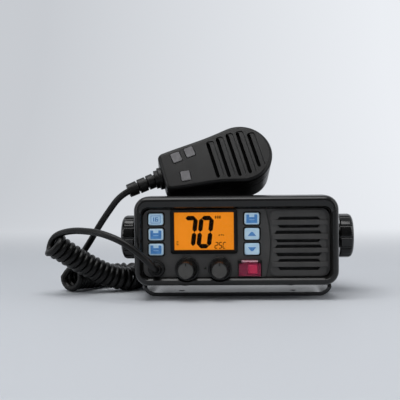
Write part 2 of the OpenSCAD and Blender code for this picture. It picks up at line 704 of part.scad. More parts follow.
module tube(p, r, n, up) {
  m = len(p);
  pts = [for (i = [0 : m - 1]) each ring(p[i], along(p, i), r, n, up)];
  quads = [for (i = [0 : m - 2], k = [0 : n - 1])
    [i * n + k, i * n + (k + 1) % n, (i + 1) * n + (k + 1) % n, (i + 1) * n + k]];
  near = [for (k = [0 : n - 1]) n - 1 - k];
  far = [for (k = [0 : n - 1]) (m - 1) * n + k];
  polyhedron(points = pts, faces = concat([near], quads, [far]), convexity = 6);
}

module cord_gland_tail() color([0.08, 0.08, 0.08]) tube(gland_path, wire_d / 2, 10, [0.3, 0.9, 0.2]);
module cord_coil() color([0.08, 0.08, 0.08]) tube(coil_path, coil_d / 2, 12, [0, 0, 1]);
module cord_mic_tail() color([0.08, 0.08, 0.08]) tube(tail_path, wire_d / 2, 10, [0.3, 1, 0]);

mount_bracket();
front_bezel();
control_panel();
speaker_grille();
window_surround();
display_window();
display_panel();
key_surrounds();
key_16();
key_left_middle();
key_left_low();
key_right_top();
key_up();
key_down();
front_board();
volume_knob();
volume_shaft();
squelch_knob();
squelch_shaft();
control_pots();
distress_frame();
distress_cover();
distress_cover_pin();
distress_button();
mic_cable_gland();
rear_chassis();
case_gasket();
main_board();
power_module();
speaker_frame();
speaker_cone();
antenna_socket();
rear_screws();
power_lead_grommet();
data_lead_grommet();
side_inserts();
side_spacers();
left_clamp_knob();
left_clamp_screw();
left_clamp_washer();
right_clamp_knob();
right_clamp_screw();
right_clamp_washer();
mic_front_shell();
mic_rear_shell();
mic_gasket();
mic_ptt_button();
mic_key_a();
mic_key_b();
mic_key_c();
mic_capsule();
mic_board();
mic_hanger_stud();
mic_shell_screws();
mic_boot();
cord_gland_tail();
cord_coil();
cord_mic_tail();
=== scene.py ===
import json
import math

import bmesh
import bpy
from mathutils import Matrix, Vector

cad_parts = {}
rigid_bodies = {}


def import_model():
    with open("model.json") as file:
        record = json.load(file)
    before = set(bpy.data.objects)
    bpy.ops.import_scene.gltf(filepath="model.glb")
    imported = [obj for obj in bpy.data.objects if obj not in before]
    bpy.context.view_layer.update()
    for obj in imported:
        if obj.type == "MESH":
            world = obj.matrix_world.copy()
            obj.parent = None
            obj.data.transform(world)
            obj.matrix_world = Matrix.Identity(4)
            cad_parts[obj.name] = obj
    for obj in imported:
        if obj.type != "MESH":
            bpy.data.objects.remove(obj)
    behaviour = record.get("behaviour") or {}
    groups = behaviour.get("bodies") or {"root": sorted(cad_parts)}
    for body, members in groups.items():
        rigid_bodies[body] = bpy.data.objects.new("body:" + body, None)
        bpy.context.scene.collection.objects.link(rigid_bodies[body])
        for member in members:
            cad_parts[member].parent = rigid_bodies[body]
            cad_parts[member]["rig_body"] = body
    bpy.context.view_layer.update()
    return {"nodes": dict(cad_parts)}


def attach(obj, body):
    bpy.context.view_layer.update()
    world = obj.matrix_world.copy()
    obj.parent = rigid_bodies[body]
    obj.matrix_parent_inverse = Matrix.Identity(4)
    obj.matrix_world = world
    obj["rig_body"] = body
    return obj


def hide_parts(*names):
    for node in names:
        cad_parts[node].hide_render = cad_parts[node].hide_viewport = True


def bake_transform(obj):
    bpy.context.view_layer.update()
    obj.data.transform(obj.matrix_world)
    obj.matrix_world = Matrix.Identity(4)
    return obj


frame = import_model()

mm = 0.001

# ---- Camera ----
# It stands about 60 cm in front of the radio, a little to the right of its
# middle and just above it, and looks slightly down and to the left.
camera_place = Vector((10.6, -610, 92.4)) * mm
camera_yaw, camera_pitch, camera_roll = 2.4, -1.52, -0.6
bpy.ops.object.select_all(action='DESELECT')
bpy.ops.object.camera_add(location=camera_place)
camera = bpy.context.object
camera.name = 'camera'
camera.rotation_euler = (Matrix.Rotation(math.radians(camera_yaw), 4, 'Z')
                         @ Matrix.Rotation(math.radians(90 + camera_pitch), 4, 'X')
                         @ Matrix.Rotation(math.radians(camera_roll), 4, 'Z')).to_euler()
camera.data.sensor_width = 36
camera.data.lens = 66.15
camera.data.shift_x = -0.0465
camera.data.clip_start, camera.data.clip_end = 0.02, 20
bpy.context.scene.camera = camera

# ---- Microphone cord ----
# One round cord of black PVC. It leaves the gland at the lower left of the
# front, rises in a loose arch, is wound into a springy coil that lies folded in
# two beside the radio, and climbs from there into the microphone's boot.
cord_d = 5.3 * mm
turn_r = 7.3 * mm
turn_pitch = 5.0 * mm
gland_route = [(-61.5, -49, 24.5), (-61.6, -51.5, 24.5), (-62.3, -54.8, 26), (-65, -58.3, 29.8),
               (-69.8, -60.6, 34.8), (-75.5, -61.2, 40), (-84.5, -60, 46), (-95.7, -56, 50.6),
               (-107.5, -50, 53.4), (-122.3, -39, 54), (-129.5, -33.5, 53.6), (-136, -28.5, 52.6),
               (-142, -23.5, 51), (-147, -19.6, 48.6), (-150.6, -16.9, 45.4), (-152.3, -15.9, 42.2),
               (-152.9, -16.9, 39.1), (-152.6, -19.4, 36.3)]
coil_route = [(-147.6, -22.4, 42), (-135.5, -16, 32.3), (-122.5, -8, 22.6), (-107, 0, 13.6),
              (-95, 6, 10.2), (-88.5, 14, 10), (-87.5, 24, 10), (-88.5, 34, 10), (-93, 41, 10),
              (-100, 43, 10), (-107.5, 39, 10), (-117, 29, 10.1), (-129.5, 15.5, 10.4),
              (-139.8, 0.5, 11.8)]
mic_route = [(-145, 6.5, 15.5), (-139.3, 6.6, 22), (-131.2, 4, 31.5), (-122.6, -1, 43),
             (-112.4, -9, 57.5), (-102.4, -15, 70.5), (-96.4, -18.6, 77.6), (-91.4, -19.9, 81.8),
             (-87.3, -20, 84.3), (-84.4, -19.4, 85.6)]


def smooth_route(points, step, rounds=0):
    """Points a step apart along a smooth curve through the given ones, evened out as often as asked."""
    knots = [Vector(p) * mm for p in points]
    knots = [2 * knots[0] - knots[1]] + knots + [2 * knots[-1] - knots[-2]]
    fine = []
    for a, b, c, d in zip(knots, knots[1:], knots[2:], knots[3:]):
        for i in range(24):
            t = i / 24
            fine.append(0.5 * (2 * b + (c - a) * t + (2 * a - 5 * b + 4 * c - d) * t * t
                               + (3 * b - a - 3 * c + d) * t ** 3))
    fine.append(knots[-2])
    line, gone = [fine[0]], 0.0
    for p, q in zip(fine, fine[1:]):
        span = (q - p).length
        while gone + span >= step:
            p = p.lerp(q, (step - gone) / span)
            span = (q - p).length
            gone = 0.0
            line.append(p.copy())
        gone += span
    for _ in range(rounds):
        inner = [0.25 * a + 0.5 * b + 0.25 * c for a, b, c in zip(line, line[1:], line[2:])]
        line = [line[0]] + inner + [line[-1]]
    return line


def wound_route():
    """The coil's wire: turns round the coil's own line, wider at both of its ends."""
    step = 0.5 * mm
    near, far = 8, 14
    flare, first_flare, last_flare = 34, 1.1 * mm, 1.8 * mm
    axis = smooth_route(coil_route, step, 120)
    end = len(axis) - 1
    ahead = [(axis[min(i + near, end)] - axis[max(i - near, 0)]).normalized() for i in range(end + 1)]
    up, frames, turned = Vector((0, 0, 1)), [], [0.0]
    for i, way in enumerate(ahead):
        up = (up - way * up.dot(way)).normalized()
        frames.append((up, way.cross(up)))
        bend = ahead[min(i + far, end)].angle(ahead[max(i - far, 0)]) / (2 * far * step)
        # where the coil bends hard its turns lie further apart
        rate = max(0.6, 1 - 1.2 * max(0.0, turn_r * bend - 0.32))
        turned.append(turned[-1] + 2 * math.pi * step * rate / turn_pitch)
    # the last turn ends at the coil's left rear, where the cord climbs away
    up, side = frames[-1]
    rear = Vector((-0.68, 0.73, 0))
    full = math.floor(turned[end] / (2 * math.pi)) * 2 * math.pi
    whole = full + math.atan2(-side.dot(rear), up.dot(rear)) - math.pi
    parts = round(whole / (math.pi / 10))
    line, i = [], 0
    for n in range(parts + 1):
        wanted = turned[end] * n / parts
        while i < end - 1 and turned[i + 1] < wanted:
            i += 1
        share = min(1.0, (wanted - turned[i]) / (turned[i + 1] - turned[i]))
        up = frames[i][0].lerp(frames[i + 1][0], share)
        side = frames[i][1].lerp(frames[i + 1][1], share)
        angle = math.pi + whole * n / parts
        wide = turn_r + first_flare * max(0.0, 1 - n / flare) + last_flare * max(0.0, 1 - (parts - n) / flare)
        line.append(axis[i].lerp(axis[i + 1], share) + wide * (math.cos(angle) * up - math.sin(angle) * side))
    return line


first = smooth_route(gland_route, 1.5 * mm, 3)
middle = wound_route()
last = smooth_route(mic_route, 2.2 * mm, 4)
cord_line = first + middle + last
curve = bpy.data.curves.new('cord', 'CURVE')
curve.dimensions = '3D'
spline = curve.splines.new('POLY')
spline.points.add(len(cord_line) - 1)
for point, place in zip(spline.points, cord_line):
    point.co = (*place, 1)
curve.bevel_depth = cord_d / 2
curve.bevel_resolution = 4
curve.use_fill_caps = True
cord = bpy.data.objects.new('microphone_cord', curve)
bpy.context.scene.collection.objects.link(cord)
bpy.ops.object.select_all(action='DESELECT')
cord.select_set(True)
bpy.context.view_layer.objects.active = cord
bpy.ops.object.convert(target='MESH')
cord = bpy.context.object
cord.name = cord.data.name = 'microphone_cord'
bpy.ops.object.shade_smooth()


def shader(name, colour, rough, metal=0.0, **fixed):
    """A new Principled finish; what varies over the surface is linked to it afterwards."""
    finish = bpy.data.materials.new(name)
    finish.use_nodes = True
    surface = finish.node_tree.nodes['Principled BSDF']
    surface.inputs['Base Color'].default_value = (*colour, 1)
    surface.inputs['Roughness'].default_value = rough
    surface.inputs['Metallic'].default_value = metal
    for socket, value in fixed.items():
        surface.inputs[socket.replace('_', ' ')].default_value = value
    return finish


def noise(finish, size, detail=3.0, stretch=(1, 1, 1)):
    """A noise pattern on the piece, whose grains are about the given size in metres."""
    nodes, links = finish.node_tree.nodes, finish.node_tree.links
    where = nodes.new('ShaderNodeTexCoord')
    turn = nodes.new('ShaderNodeMapping')
    turn.inputs['Scale'].default_value = stretch
    pattern = nodes.new('ShaderNodeTexNoise')
    pattern.inputs['Scale'].default_value = 1 / size
    pattern.inputs['Detail'].default_value = detail
    links.new(where.outputs['Object'], turn.inputs['Vector'])
    links.new(turn.outputs['Vector'], pattern.inputs['Vector'])
    return pattern.outputs['Fac']


def tint(finish, size, dark, light, low=0.35, high=0.65, **grain):
    """Lets a noise of that size carry the colour from dark to light."""
    pattern = noise(finish, size, **grain)
    nodes, links = finish.node_tree.nodes, finish.node_tree.links
    ramp = nodes.new('ShaderNodeValToRGB')
    ramp.color_ramp.elements[0].position, ramp.color_ramp.elements[1].position = low, high
    ramp.color_ramp.elements[0].color = (*dark, 1)
    ramp.color_ramp.elements[1].color = (*light, 1)
    links.new(pattern, ramp.inputs['Fac'])
    links.new(ramp.outputs['Color'], nodes['Principled BSDF'].inputs['Base Color'])


def sheen_range(finish, size, low, high, **grain):
    """Lets a noise of that size carry the roughness from low to high."""
    pattern = noise(finish, size, **grain)
    nodes, links = finish.node_tree.nodes, finish.node_tree.links
    spread = nodes.new('ShaderNodeMapRange')
    spread.inputs['From Min'].default_value, spread.inputs['From Max'].default_value = 0.3, 0.7
    spread.inputs['To Min'].default_value, spread.inputs['To Max'].default_value = low, high
    links.new(pattern, spread.inputs['Value'])
    links.new(spread.outputs['Result'], nodes['Principled BSDF'].inputs['Roughness'])


def relief(finish, size, height, strength=1.0, **grain):
    """Raises the surface by a noise of that size, up to the given height in metres."""
    pattern = noise(finish, size, **grain)
    nodes, links = finish.node_tree.nodes, finish.node_tree.links
    bump = nodes.new('ShaderNodeBump')
    bump.inputs['Strength'].default_value = strength
    bump.inputs['Distance'].default_value = height
    links.new(pattern, bump.inputs['Height'])
    links.new(bump.outputs['Normal'], nodes['Principled BSDF'].inputs['Normal'])


cord_pvc = shader('cord_pvc', (0.004, 0.0038, 0.0038), 0.36, Specular_IOR_Level=0.28)
tint(cord_pvc, 9 * mm, (0.003, 0.0028, 0.0028), (0.0055, 0.0052, 0.005))
sheen_range(cord_pvc, 4 * mm, 0.3, 0.42)
relief(cord_pvc, 0.5 * mm, 0.05 * mm, 0.6)
cord.data.materials.clear()
cord.data.materials.append(cord_pvc)
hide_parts('cord_gland_tail', 'cord_coil', 'cord_mic_tail')
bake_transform(cord)

# ---- Front housing ----
# One moulding of black plastic, rounded in front, whose brow slopes in to a
# deep opening for the panel. It screws to the case from behind.
def mark(piece, kind, test):
    """In edit mode, selects only the faces, edges or vertices for which the test holds."""
    bpy.context.tool_settings.mesh_select_mode = (kind == 'VERT', kind == 'EDGE', kind == 'FACE')
    mesh = bmesh.from_edit_mesh(piece.data)
    for group in (mesh.verts, mesh.edges, mesh.faces):
        for part in group:
            part.select = False
    for part in {'VERT': mesh.verts, 'EDGE': mesh.edges, 'FACE': mesh.faces}[kind]:
        if test(part):
            part.select_set(True)
    mesh.select_flush_mode()
    bmesh.update_edit_mesh(piece.data)


def alone(piece):
    """Makes the piece the only selected and active one."""
    bpy.ops.object.select_all(action='DESELECT')
    piece.select_set(True)
    bpy.context.view_layer.objects.active = piece


def rounded_slab(name, wide, high, front, back, corner, x, z, steps=6):
    """A block with rounded corners that stands in X and Z, left in edit mode. Sizes are in millimetres."""
    bpy.ops.object.select_all(action='DESELECT')
    bpy.ops.mesh.primitive_cube_add(size=1, location=(x * mm, (front + back) / 2 * mm, z * mm))
    slab = bpy.context.object
    slab.name = slab.data.name = name
    slab.scale = (wide * mm, (back - front) * mm, high * mm)
    bpy.ops.object.transform_apply(location=True, rotation=True, scale=True)
    bpy.ops.object.mode_set(mode='EDIT')
    mark(slab, 'EDGE', lambda e: abs(e.verts[0].co.y - e.verts[1].co.y) > 1e-5)
    bpy.ops.mesh.bevel(offset=corner * mm, segments=steps, profile=0.5)
    return slab


def faces_at(piece, y, way=-1):
    """Selects the faces that look forward (or back) at that depth in millimetres."""
    mark(piece, 'FACE', lambda f: f.normal.y * way > 0.9 and abs(f.calc_center_median().y - y * mm) < 1e-5)


def cut(piece, tool, how='DIFFERENCE'):
    """Cuts the tool out of the piece and removes the tool."""
    alone(piece)
    trim = piece.modifiers.new('cut', 'BOOLEAN')
    trim.operation, trim.object, trim.solver = how, tool, 'EXACT'
    bpy.ops.object.modifier_apply(modifier=trim.name)
    bpy.data.objects.remove(tool)


def bar_tool(x, z, front, back, radius, sides=64):
    """A round bar along Y, to cut with or to build from."""
    bpy.ops.object.select_all(action='DESELECT')
    bpy.ops.mesh.primitive_cylinder_add(vertices=sides, radius=radius * mm, depth=(back - front) * mm,
                                        location=(x * mm, (front + back) / 2 * mm, z * mm),
                                        rotation=(math.radians(90), 0, 0))
    bpy.ops.object.transform_apply(location=True, rotation=True, scale=True)
    return bpy.context.object


def soften(piece, width, segments=2, limit=32):
    """Rounds the piece's sharp edges to the given width in millimetres and shades it smooth."""
    alone(piece)
    if width:
        edge = piece.modifiers.new('edges', 'BEVEL')
        edge.width, edge.segments = width * mm, segments
        edge.limit_method, edge.angle_limit = 'ANGLE', math.radians(limit)
        bpy.ops.object.modifier_apply(modifier=edge.name)
    bpy.ops.object.shade_smooth_by_angle(angle=math.radians(35))
    even = piece.modifiers.new('normals', 'WEIGHTED_NORMAL')
    even.keep_sharp = True
    bpy.ops.object.modifier_apply(modifier=even.name)


def fit(piece, finish, slot, *nodes):
    """Gives the piece its finish and puts it in the place of the frame's solids, on their body."""
    if finish:
        piece.data.materials.clear()
        piece.data.materials.append(finish)
    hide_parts(*nodes)
    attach(piece, frame['nodes'][nodes[0]]['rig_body'])


housing_front, housing_back = -44, -22
dial_z, dial_gap = 24.5, 0.6
dials = (('volume_knob', -37.9, 9.4), ('squelch_knob', -12.4, 9.2))
housing = rounded_slab('front_housing', 157.5, 69, housing_front, housing_back, 11, 0, 46, steps=10)
# the rounded front edge, then the brow, whose ratios set the opening's own width and height
faces_at(housing, housing_front)
for inward, forward in ((0.25, 2.6), (0.55, 1.5), (0.8, 1.0), (0.9, 0.6), (0.9, 0.3), (1.0, 0)):
    bpy.ops.mesh.inset(thickness=inward * mm, depth=forward * mm)
bpy.ops.mesh.inset(thickness=1.5 * mm, depth=-1.4 * mm)
bpy.ops.transform.resize(value=(1, 1, 55.1 / 57.2))
bpy.ops.transform.translate(value=(0, 0, -1.25 * mm))
bpy.ops.mesh.inset(thickness=0.45 * mm, depth=-3.4 * mm)
bpy.ops.transform.resize(value=(143.8 / 144.8, 1, 52.4 / 54.2))
bpy.ops.transform.translate(value=(0, 0, -0.7 * mm))
bpy.ops.mesh.extrude_region_move(TRANSFORM_OT_translate={'value': (0, 6.7 * mm, 0)})
bpy.ops.mesh.delete(type='ONLY_FACE')
# the back: its rim, and a wider hollow that is joined to the opening
faces_at(housing, housing_back, 1)
bpy.ops.mesh.inset(thickness=7.5 * mm, depth=0)
bpy.ops.transform.resize(value=(132 / 142.5, 1, 1))
bpy.ops.transform.translate(value=(0, 0, -0.4 * mm))
bpy.ops.mesh.extrude_region_move(TRANSFORM_OT_translate={'value': (0, -3 * mm, 0)})
bpy.ops.mesh.extrude_region_move(TRANSFORM_OT_translate={'value': (0, 0, 0.4 * mm)})
bpy.ops.transform.resize(value=(149.5 / 132, 1, 62 / 54))
bpy.ops.mesh.extrude_region_move(TRANSFORM_OT_translate={'value': (0, -12.5 * mm, 0)})
bpy.ops.mesh.delete(type='ONLY_FACE')
mark(housing, 'EDGE', lambda e: e.is_boundary)
bpy.ops.mesh.bridge_edge_loops()
bpy.ops.object.mode_set(mode='OBJECT')
for _, dial_x, dial_r in dials:
    cut(housing, bar_tool(dial_x, dial_z, -51, -40, dial_r + dial_gap, 72))
soften(housing, 0.45, 3)
housing_black = shader('housing_black', (0.0065, 0.0063, 0.006), 0.24, Specular_IOR_Level=0.42)
tint(housing_black, 30 * mm, (0.0045, 0.0044, 0.0042), (0.007, 0.0068, 0.0064))
sheen_range(housing_black, 12 * mm, 0.2, 0.27)
relief(housing_black, 0.45 * mm, 0.05 * mm, 0.7, detail=4)
fit(housing, housing_black, 'housing_black', 'front_bezel')

# ---- Control panel ----
# The grey fascia of fine-grained plastic that carries the screen, keys and
# dials. It drops into the housing, and its right side is cut to a wide curve.
def eased(node, width, name, segments=2, limit=32):
    """A copy of one of the frame's solids, merged, with its sharp edges rounded to a width in millimetres."""
    piece = frame['nodes'][node].copy()
    piece.data = piece.data.copy()
    piece.name = piece.data.name = name
    piece.parent = None
    for word in list(piece.keys()):
        del piece[word]
    bpy.context.scene.collection.objects.link(piece)
    alone(piece)
    if piece.data.has_custom_normals:
        bpy.ops.mesh.customdata_custom_splitnormals_clear()
    bpy.ops.object.mode_set(mode='EDIT')
    bpy.ops.mesh.select_all(action='SELECT')
    bpy.ops.mesh.remove_doubles(threshold=2e-6)
    bpy.ops.mesh.dissolve_limited(angle_limit=math.radians(0.6))
    bpy.ops.object.mode_set(mode='OBJECT')
    soften(piece, width, segments, limit)
    return piece


def dress(node, width, name, finish, slot, segments=2, limit=32):
    """The frame's solid with its edges rounded, under the given name and in its finish."""
    fit(eased(node, width, name, segments, limit), finish, slot, node)


panel_grey = shader('panel_grey', (0.04, 0.039, 0.039), 0.55)
tint(panel_grey, 22 * mm, (0.045, 0.0435, 0.042), (0.06, 0.058, 0.056))
sheen_range(panel_grey, 9 * mm, 0.48, 0.6)
relief(panel_grey, 0.4 * mm, 0.06 * mm, 0.8, detail=4)
dress('control_panel', 0.25, 'panel', panel_grey, 'panel_grey')

# ---- Speaker grille ----
# The grey plate right of the curve: a raised pad with eight slots whose ends
# are cut on the slant, and four proud bars between them that run past its edge.
def plain_slab(*measures, steps):
    """A rounded slab that needs no more shaping."""
    slab = rounded_slab(*measures, steps=steps)
    bpy.ops.object.mode_set(mode='OBJECT')
    return slab


curve_x, curve_z = -73.8, 44.05
grille = plain_slab('grille', 143.6, 52.2, -44.4, -42.5, 6, 0, curve_z, steps=8)
cut(grille, bar_tool(curve_x, curve_z, -50, -38, 100.3, 240))
pad = plain_slab('pad', 42.6, 50.4, -45.6, -44.2, 4.2, 47.9, 43.9, steps=6)
cut(pad, bar_tool(curve_x, curve_z, -50, -38, 101.4, 240))
# each slot: height of its middle, its height, its left and right end, and which side of it is longer
slots = ((62.97, 2.3, 31.7, 64.7, -1), (56.7, 2.3, 32.0, 64.7, 1), (52.2, 2.6, 29.4, 65.9, -1),
         (45.6, 2.3, 30.3, 65.0, 1), (41.4, 2.5, 29.7, 66.2, -1), (35.1, 2.7, 30.3, 65.6, 1),
         (30.6, 2.4, 31.7, 64.7, -1), (24.3, 2.4, 32.0, 64.7, 1))
end_slant = 3.6
for z, high, left, right, longer in slots:
    bpy.ops.object.select_all(action='DESELECT')
    bpy.ops.mesh.primitive_cube_add(size=1, location=((left + right) / 2 * mm, -44.5 * mm, z * mm))
    slot = bpy.context.object
    slot.scale = ((right - left) * mm, 9 * mm, high * mm)
    bpy.ops.object.transform_apply(location=True, rotation=True, scale=True)
    bpy.ops.object.mode_set(mode='EDIT')
    mark(slot, 'VERT', lambda v: (v.co.z - z * mm) * longer < 0)
    bpy.ops.transform.resize(value=(1 - end_slant / (right - left), 1, 1))
    bpy.ops.object.mode_set(mode='OBJECT')
    twin = slot.copy()
    twin.data = slot.data.copy()
    bpy.context.scene.collection.objects.link(twin)
    cut(pad, slot)
    cut(grille, twin)
soften(grille, 0.15)
soften(pad, 0.3)
bars = []
bar_front, bar_right = -46.5, 70.5
for z, high, left in ((59.75, 3.6, 27.6), (48.9, 3.9, 28.3), (38.3, 3.6, 28.3), (27.45, 3.8, 27.4)):
    bar = rounded_slab('bar', bar_right - left, high, bar_front, -45.3, 0.5,
                       (bar_right + left) / 2, z, steps=2)
    faces_at(bar, bar_front)
    bpy.ops.mesh.inset(thickness=0.35 * mm, depth=0)
    bpy.ops.object.mode_set(mode='OBJECT')
    soften(bar, 0.35)
    bars.append(bar)
bpy.ops.object.select_all(action='DESELECT')
for part in bars + [pad, grille]:
    part.select_set(True)
bpy.context.view_layer.objects.active = grille
bpy.ops.object.join()
grille.name = grille.data.name = 'grille'
fit(grille, panel_grey, 'panel_grey', 'speaker_grille')

# ---- Screen ----
# A gloss black surround clipped into the panel, a clear lens set in it and the
# amber backlit glass, whose black segments read a channel number.
surround_front, surround_back = -45.8, -42.5
surround = rounded_slab('screen_surround', 51.8, 34.2, surround_front, surround_back, 2.2,
                        -24.7, 53.1, steps=5)
faces_at(surround, surround_front)
bpy.ops.mesh.inset(thickness=0.5 * mm, depth=0)
bpy.ops.mesh.inset(thickness=2.3 * mm, depth=-1.1 * mm)
bpy.ops.transform.resize(value=(46.1 / 46.2, 1, 29.1 / 28.6))
bpy.ops.transform.translate(value=(0, 0, 0.3 * mm))
bpy.ops.mesh.extrude_region_move(TRANSFORM_OT_translate={'value': (0, 2.2 * mm, 0)})
bpy.ops.mesh.delete(type='ONLY_FACE')
faces_at(surround, surround_back, 1)
bpy.ops.mesh.inset(thickness=2.7 * mm, depth=0)
bpy.ops.mesh.delete(type='ONLY_FACE')
mark(surround, 'EDGE', lambda e: e.is_boundary)
bpy.ops.mesh.bridge_edge_loops()
bpy.ops.object.mode_set(mode='OBJECT')
soften(surround, 0.25)
trim_black = shader('trim_black', (0.003, 0.003, 0.0028), 0.2, Specular_IOR_Level=0.22)
tint(trim_black, 14 * mm, (0.002, 0.002, 0.0018), (0.0045, 0.0043, 0.004))
sheen_range(trim_black, 7 * mm, 0.16, 0.26)
relief(trim_black, 0.5 * mm, 0.02 * mm, 0.5)
fit(surround, trim_black, 'trim_black', 'window_surround')

lens_clear = shader('lens_clear', (0.3, 0.12, 0.03), 0.08, Alpha=0.04, Specular_IOR_Level=0.1)
sheen_range(lens_clear, 15 * mm, 0.06, 0.12)
dress('display_window', 0.2, 'screen_lens', lens_clear, 'amber_lens')

amber = shader('amber_glow', (0.3, 0.09, 0.006), 0.5, Emission_Strength=0.74, Specular_IOR_Level=0.1)
tint(amber, 16 * mm, (0.27, 0.08, 0.005), (0.33, 0.10, 0.007))
amber.node_tree.nodes['Principled BSDF'].inputs['Emission Color'].default_value = (0.88, 0.265, 0.012, 1)
dress('display_panel', 0.1, 'screen_glass', amber, 'amber_backlight')

ink = shader('segment_ink', (0.001, 0.0008, 0.0006), 0.5, Specular_IOR_Level=0.05)
tint(ink, 4 * mm, (0.0008, 0.0006, 0.0005), (0.0014, 0.001, 0.0008))
segment_lines = {'top': (-1, 1, 1, 1), 'upper_right': (1, 1, 1, 0), 'lower_right': (1, 0, 1, -1),
                 'bottom': (-1, -1, 1, -1), 'lower_left': (-1, 0, -1, -1), 'upper_left': (-1, 1, -1, 0),
                 'middle': (-1, 0, 1, 0)}
glass_front = -43.1
drawn = []


def stroke(x0, z0, x1, z1, thick, gap, proud=0.12):
    """One flat segment of ink with pointed ends, a little in front of the glass."""
    along = Vector((x1 - x0, z1 - z0))
    bpy.ops.object.select_all(action='DESELECT')
    bpy.ops.mesh.primitive_cube_add(size=1, location=(0, 0, 0))
    bar = bpy.context.object
    bar.scale = ((along.length - 2 * gap) * mm, proud * mm, thick * mm)
    bpy.ops.object.transform_apply(location=True, rotation=True, scale=True)
    bpy.ops.object.mode_set(mode='EDIT')
    mark(bar, 'EDGE', lambda e: abs(e.verts[0].co.y - e.verts[1].co.y) > 1e-6)
    bpy.ops.mesh.bevel(offset=thick * 0.49 * mm, segments=1)
    bpy.ops.object.mode_set(mode='OBJECT')
    bar.rotation_euler = (0, -math.atan2(along.y, along.x), 0)
    bar.location = ((x0 + x1) / 2 * mm, (glass_front - proud / 2) * mm, (z0 + z1) / 2 * mm)
    bpy.ops.object.transform_apply(location=True, rotation=True, scale=True)
    drawn.append(bar)


def digit(parts, x, z, half_wide, half_high, thick, lean=0.12):
    """A leaning seven-segment digit, made of the named segments."""
    gap = 0.12 if thick > 1 else 0.05
    for part in parts.split():
        x0, z0, x1, z1 = segment_lines[part]
        stroke(x + x0 * half_wide + z0 * half_high * lean, z + z0 * half_high,
               x + x1 * half_wide + z1 * half_high * lean, z + z1 * half_high, thick, gap)


large_z, small_z = 52.6, 42.3
small_size = (1.0, 2.3, 0.65)
digit('top upper_right lower_right', -36.3, large_z, 4.1, 10.9, 3.5)
digit('top upper_right lower_right bottom lower_left upper_left', -23.8, large_z, 4.0, 10.9, 3.5)
digit('top upper_right middle lower_left bottom', -15.2, small_z, *small_size)
digit('top upper_left middle lower_right bottom', -12.1, small_z, *small_size)
digit('top upper_left lower_left bottom', -9.0, small_z, *small_size)
# the small signs at the right and the three short dashes at the left
dash_x = -46.2
for x0, x1, z, thick in ((-16.3, -14.8, 64.1, 2.2), (-14.5, -13.2, 64.1, 2.2), (-12.9, -11.7, 64.1, 2.2),
                         (-13.6, -12.2, 50.2, 0.9), (-11.8, -10.4, 50.4, 0.9), (-10.2, -9.2, 50.2, 0.9)):
    stroke(x0, z, x1, z, thick, 0)
for z, wide in ((45.2, 1.8), (44.1, 0.8), (43.0, 1.8)):
    stroke(dash_x, z, dash_x + wide, z, 0.6, 0)
bpy.ops.object.select_all(action='DESELECT')
for bar in drawn:
    bar.select_set(True)
bpy.context.view_layer.objects.active = drawn[0]
bpy.ops.object.join()
segments = bpy.context.object
segments.name = segments.data.name = 'screen_segments'
segments.data.materials.clear()
segments.data.materials.append(ink)
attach(segments, 'radio')

# ---- Front keys ----
# Six pale blue rubber keys in black cups. Each cap is a soft cushion with its
# mark printed on top in a deeper blue.
left_x, right_x = -61.7, 12.3
top_z, middle_z, low_z = 62.9, 51.2, 39.6
cap_wide, cap_high, cap_front, cap_back = 11.3, 8.8, -46.6, -38.2
print_y = -47.06
dress('key_surrounds', 0.25, 'key_cups', trim_black, 'trim_black')
key_blue = shader('key_blue', (0.58, 0.8, 0.97), 0.45)
tint(key_blue, 5 * mm, (0.53, 0.77, 0.96), (0.63, 0.84, 0.99))
sheen_range(key_blue, 3 * mm, 0.38, 0.5)
relief(key_blue, 0.4 * mm, 0.02 * mm, 0.4)
mark_blue = shader('mark_blue', (0.08, 0.28, 0.66), 0.5)
tint(mark_blue, 3 * mm, (0.07, 0.25, 0.62), (0.1, 0.33, 0.72))


def print_block(x0, x1, z0, z1, top=None):
    """One printed block on a key; top gives the width of its upper edge when it narrows."""
    bpy.ops.object.select_all(action='DESELECT')
    bpy.ops.mesh.primitive_cube_add(size=1, location=((x0 + x1) / 2 * mm, print_y * mm, (z0 + z1) / 2 * mm))
    block = bpy.context.object
    block.scale = ((x1 - x0) * mm, 0.14 * mm, (z1 - z0) * mm)
    bpy.ops.object.transform_apply(location=True, rotation=True, scale=True)
    if top is not None:
        bpy.ops.object.mode_set(mode='EDIT')
        upper = 1 if top >= 0 else -1
        mark(block, 'VERT', lambda v: (v.co.z - (z0 + z1) / 2 * mm) * upper > 0)
        bpy.ops.transform.resize(value=(max(abs(top) / (x1 - x0), 0.02), 1, 1))
        bpy.ops.object.mode_set(mode='OBJECT')
    return block


def key_cap(node, x, z, marks):
    """A cushioned cap with a wider foot behind the panel and its printed marks."""
    cap = rounded_slab(node + '_cap', cap_wide, cap_high, cap_front, cap_back, 1.5, x, z, steps=4)
    faces_at(cap, cap_front)
    for inward, forward in ((0.12, 0.22), (0.3, 0.13), (0.6, 0.05)):
        bpy.ops.mesh.inset(thickness=inward * mm, depth=forward * mm)
    faces_at(cap, cap_back, 1)
    bpy.ops.mesh.extrude_region_move(TRANSFORM_OT_translate={'value': (0, 0, 0)})
    bpy.ops.transform.resize(value=(12.9 / cap_wide, 1, 10.2 / cap_high))
    bpy.ops.mesh.extrude_region_move(TRANSFORM_OT_translate={'value': (0, -1.9 * mm, 0)})
    bpy.ops.mesh.select_all(action='SELECT')
    bpy.ops.object.mode_set(mode='OBJECT')
    cap.data.materials.append(key_blue)
    blocks = []
    for block in marks:
        part = print_block(*block)
        part.data.materials.append(mark_blue)
        blocks.append(part)
    alone(cap)
    bpy.ops.object.shade_smooth_by_angle(angle=math.radians(40))
    for part in blocks:
        part.select_set(True)
    bpy.context.view_layer.objects.active = cap
    bpy.ops.object.join()
    fit(cap, None, 'key_blue', node)


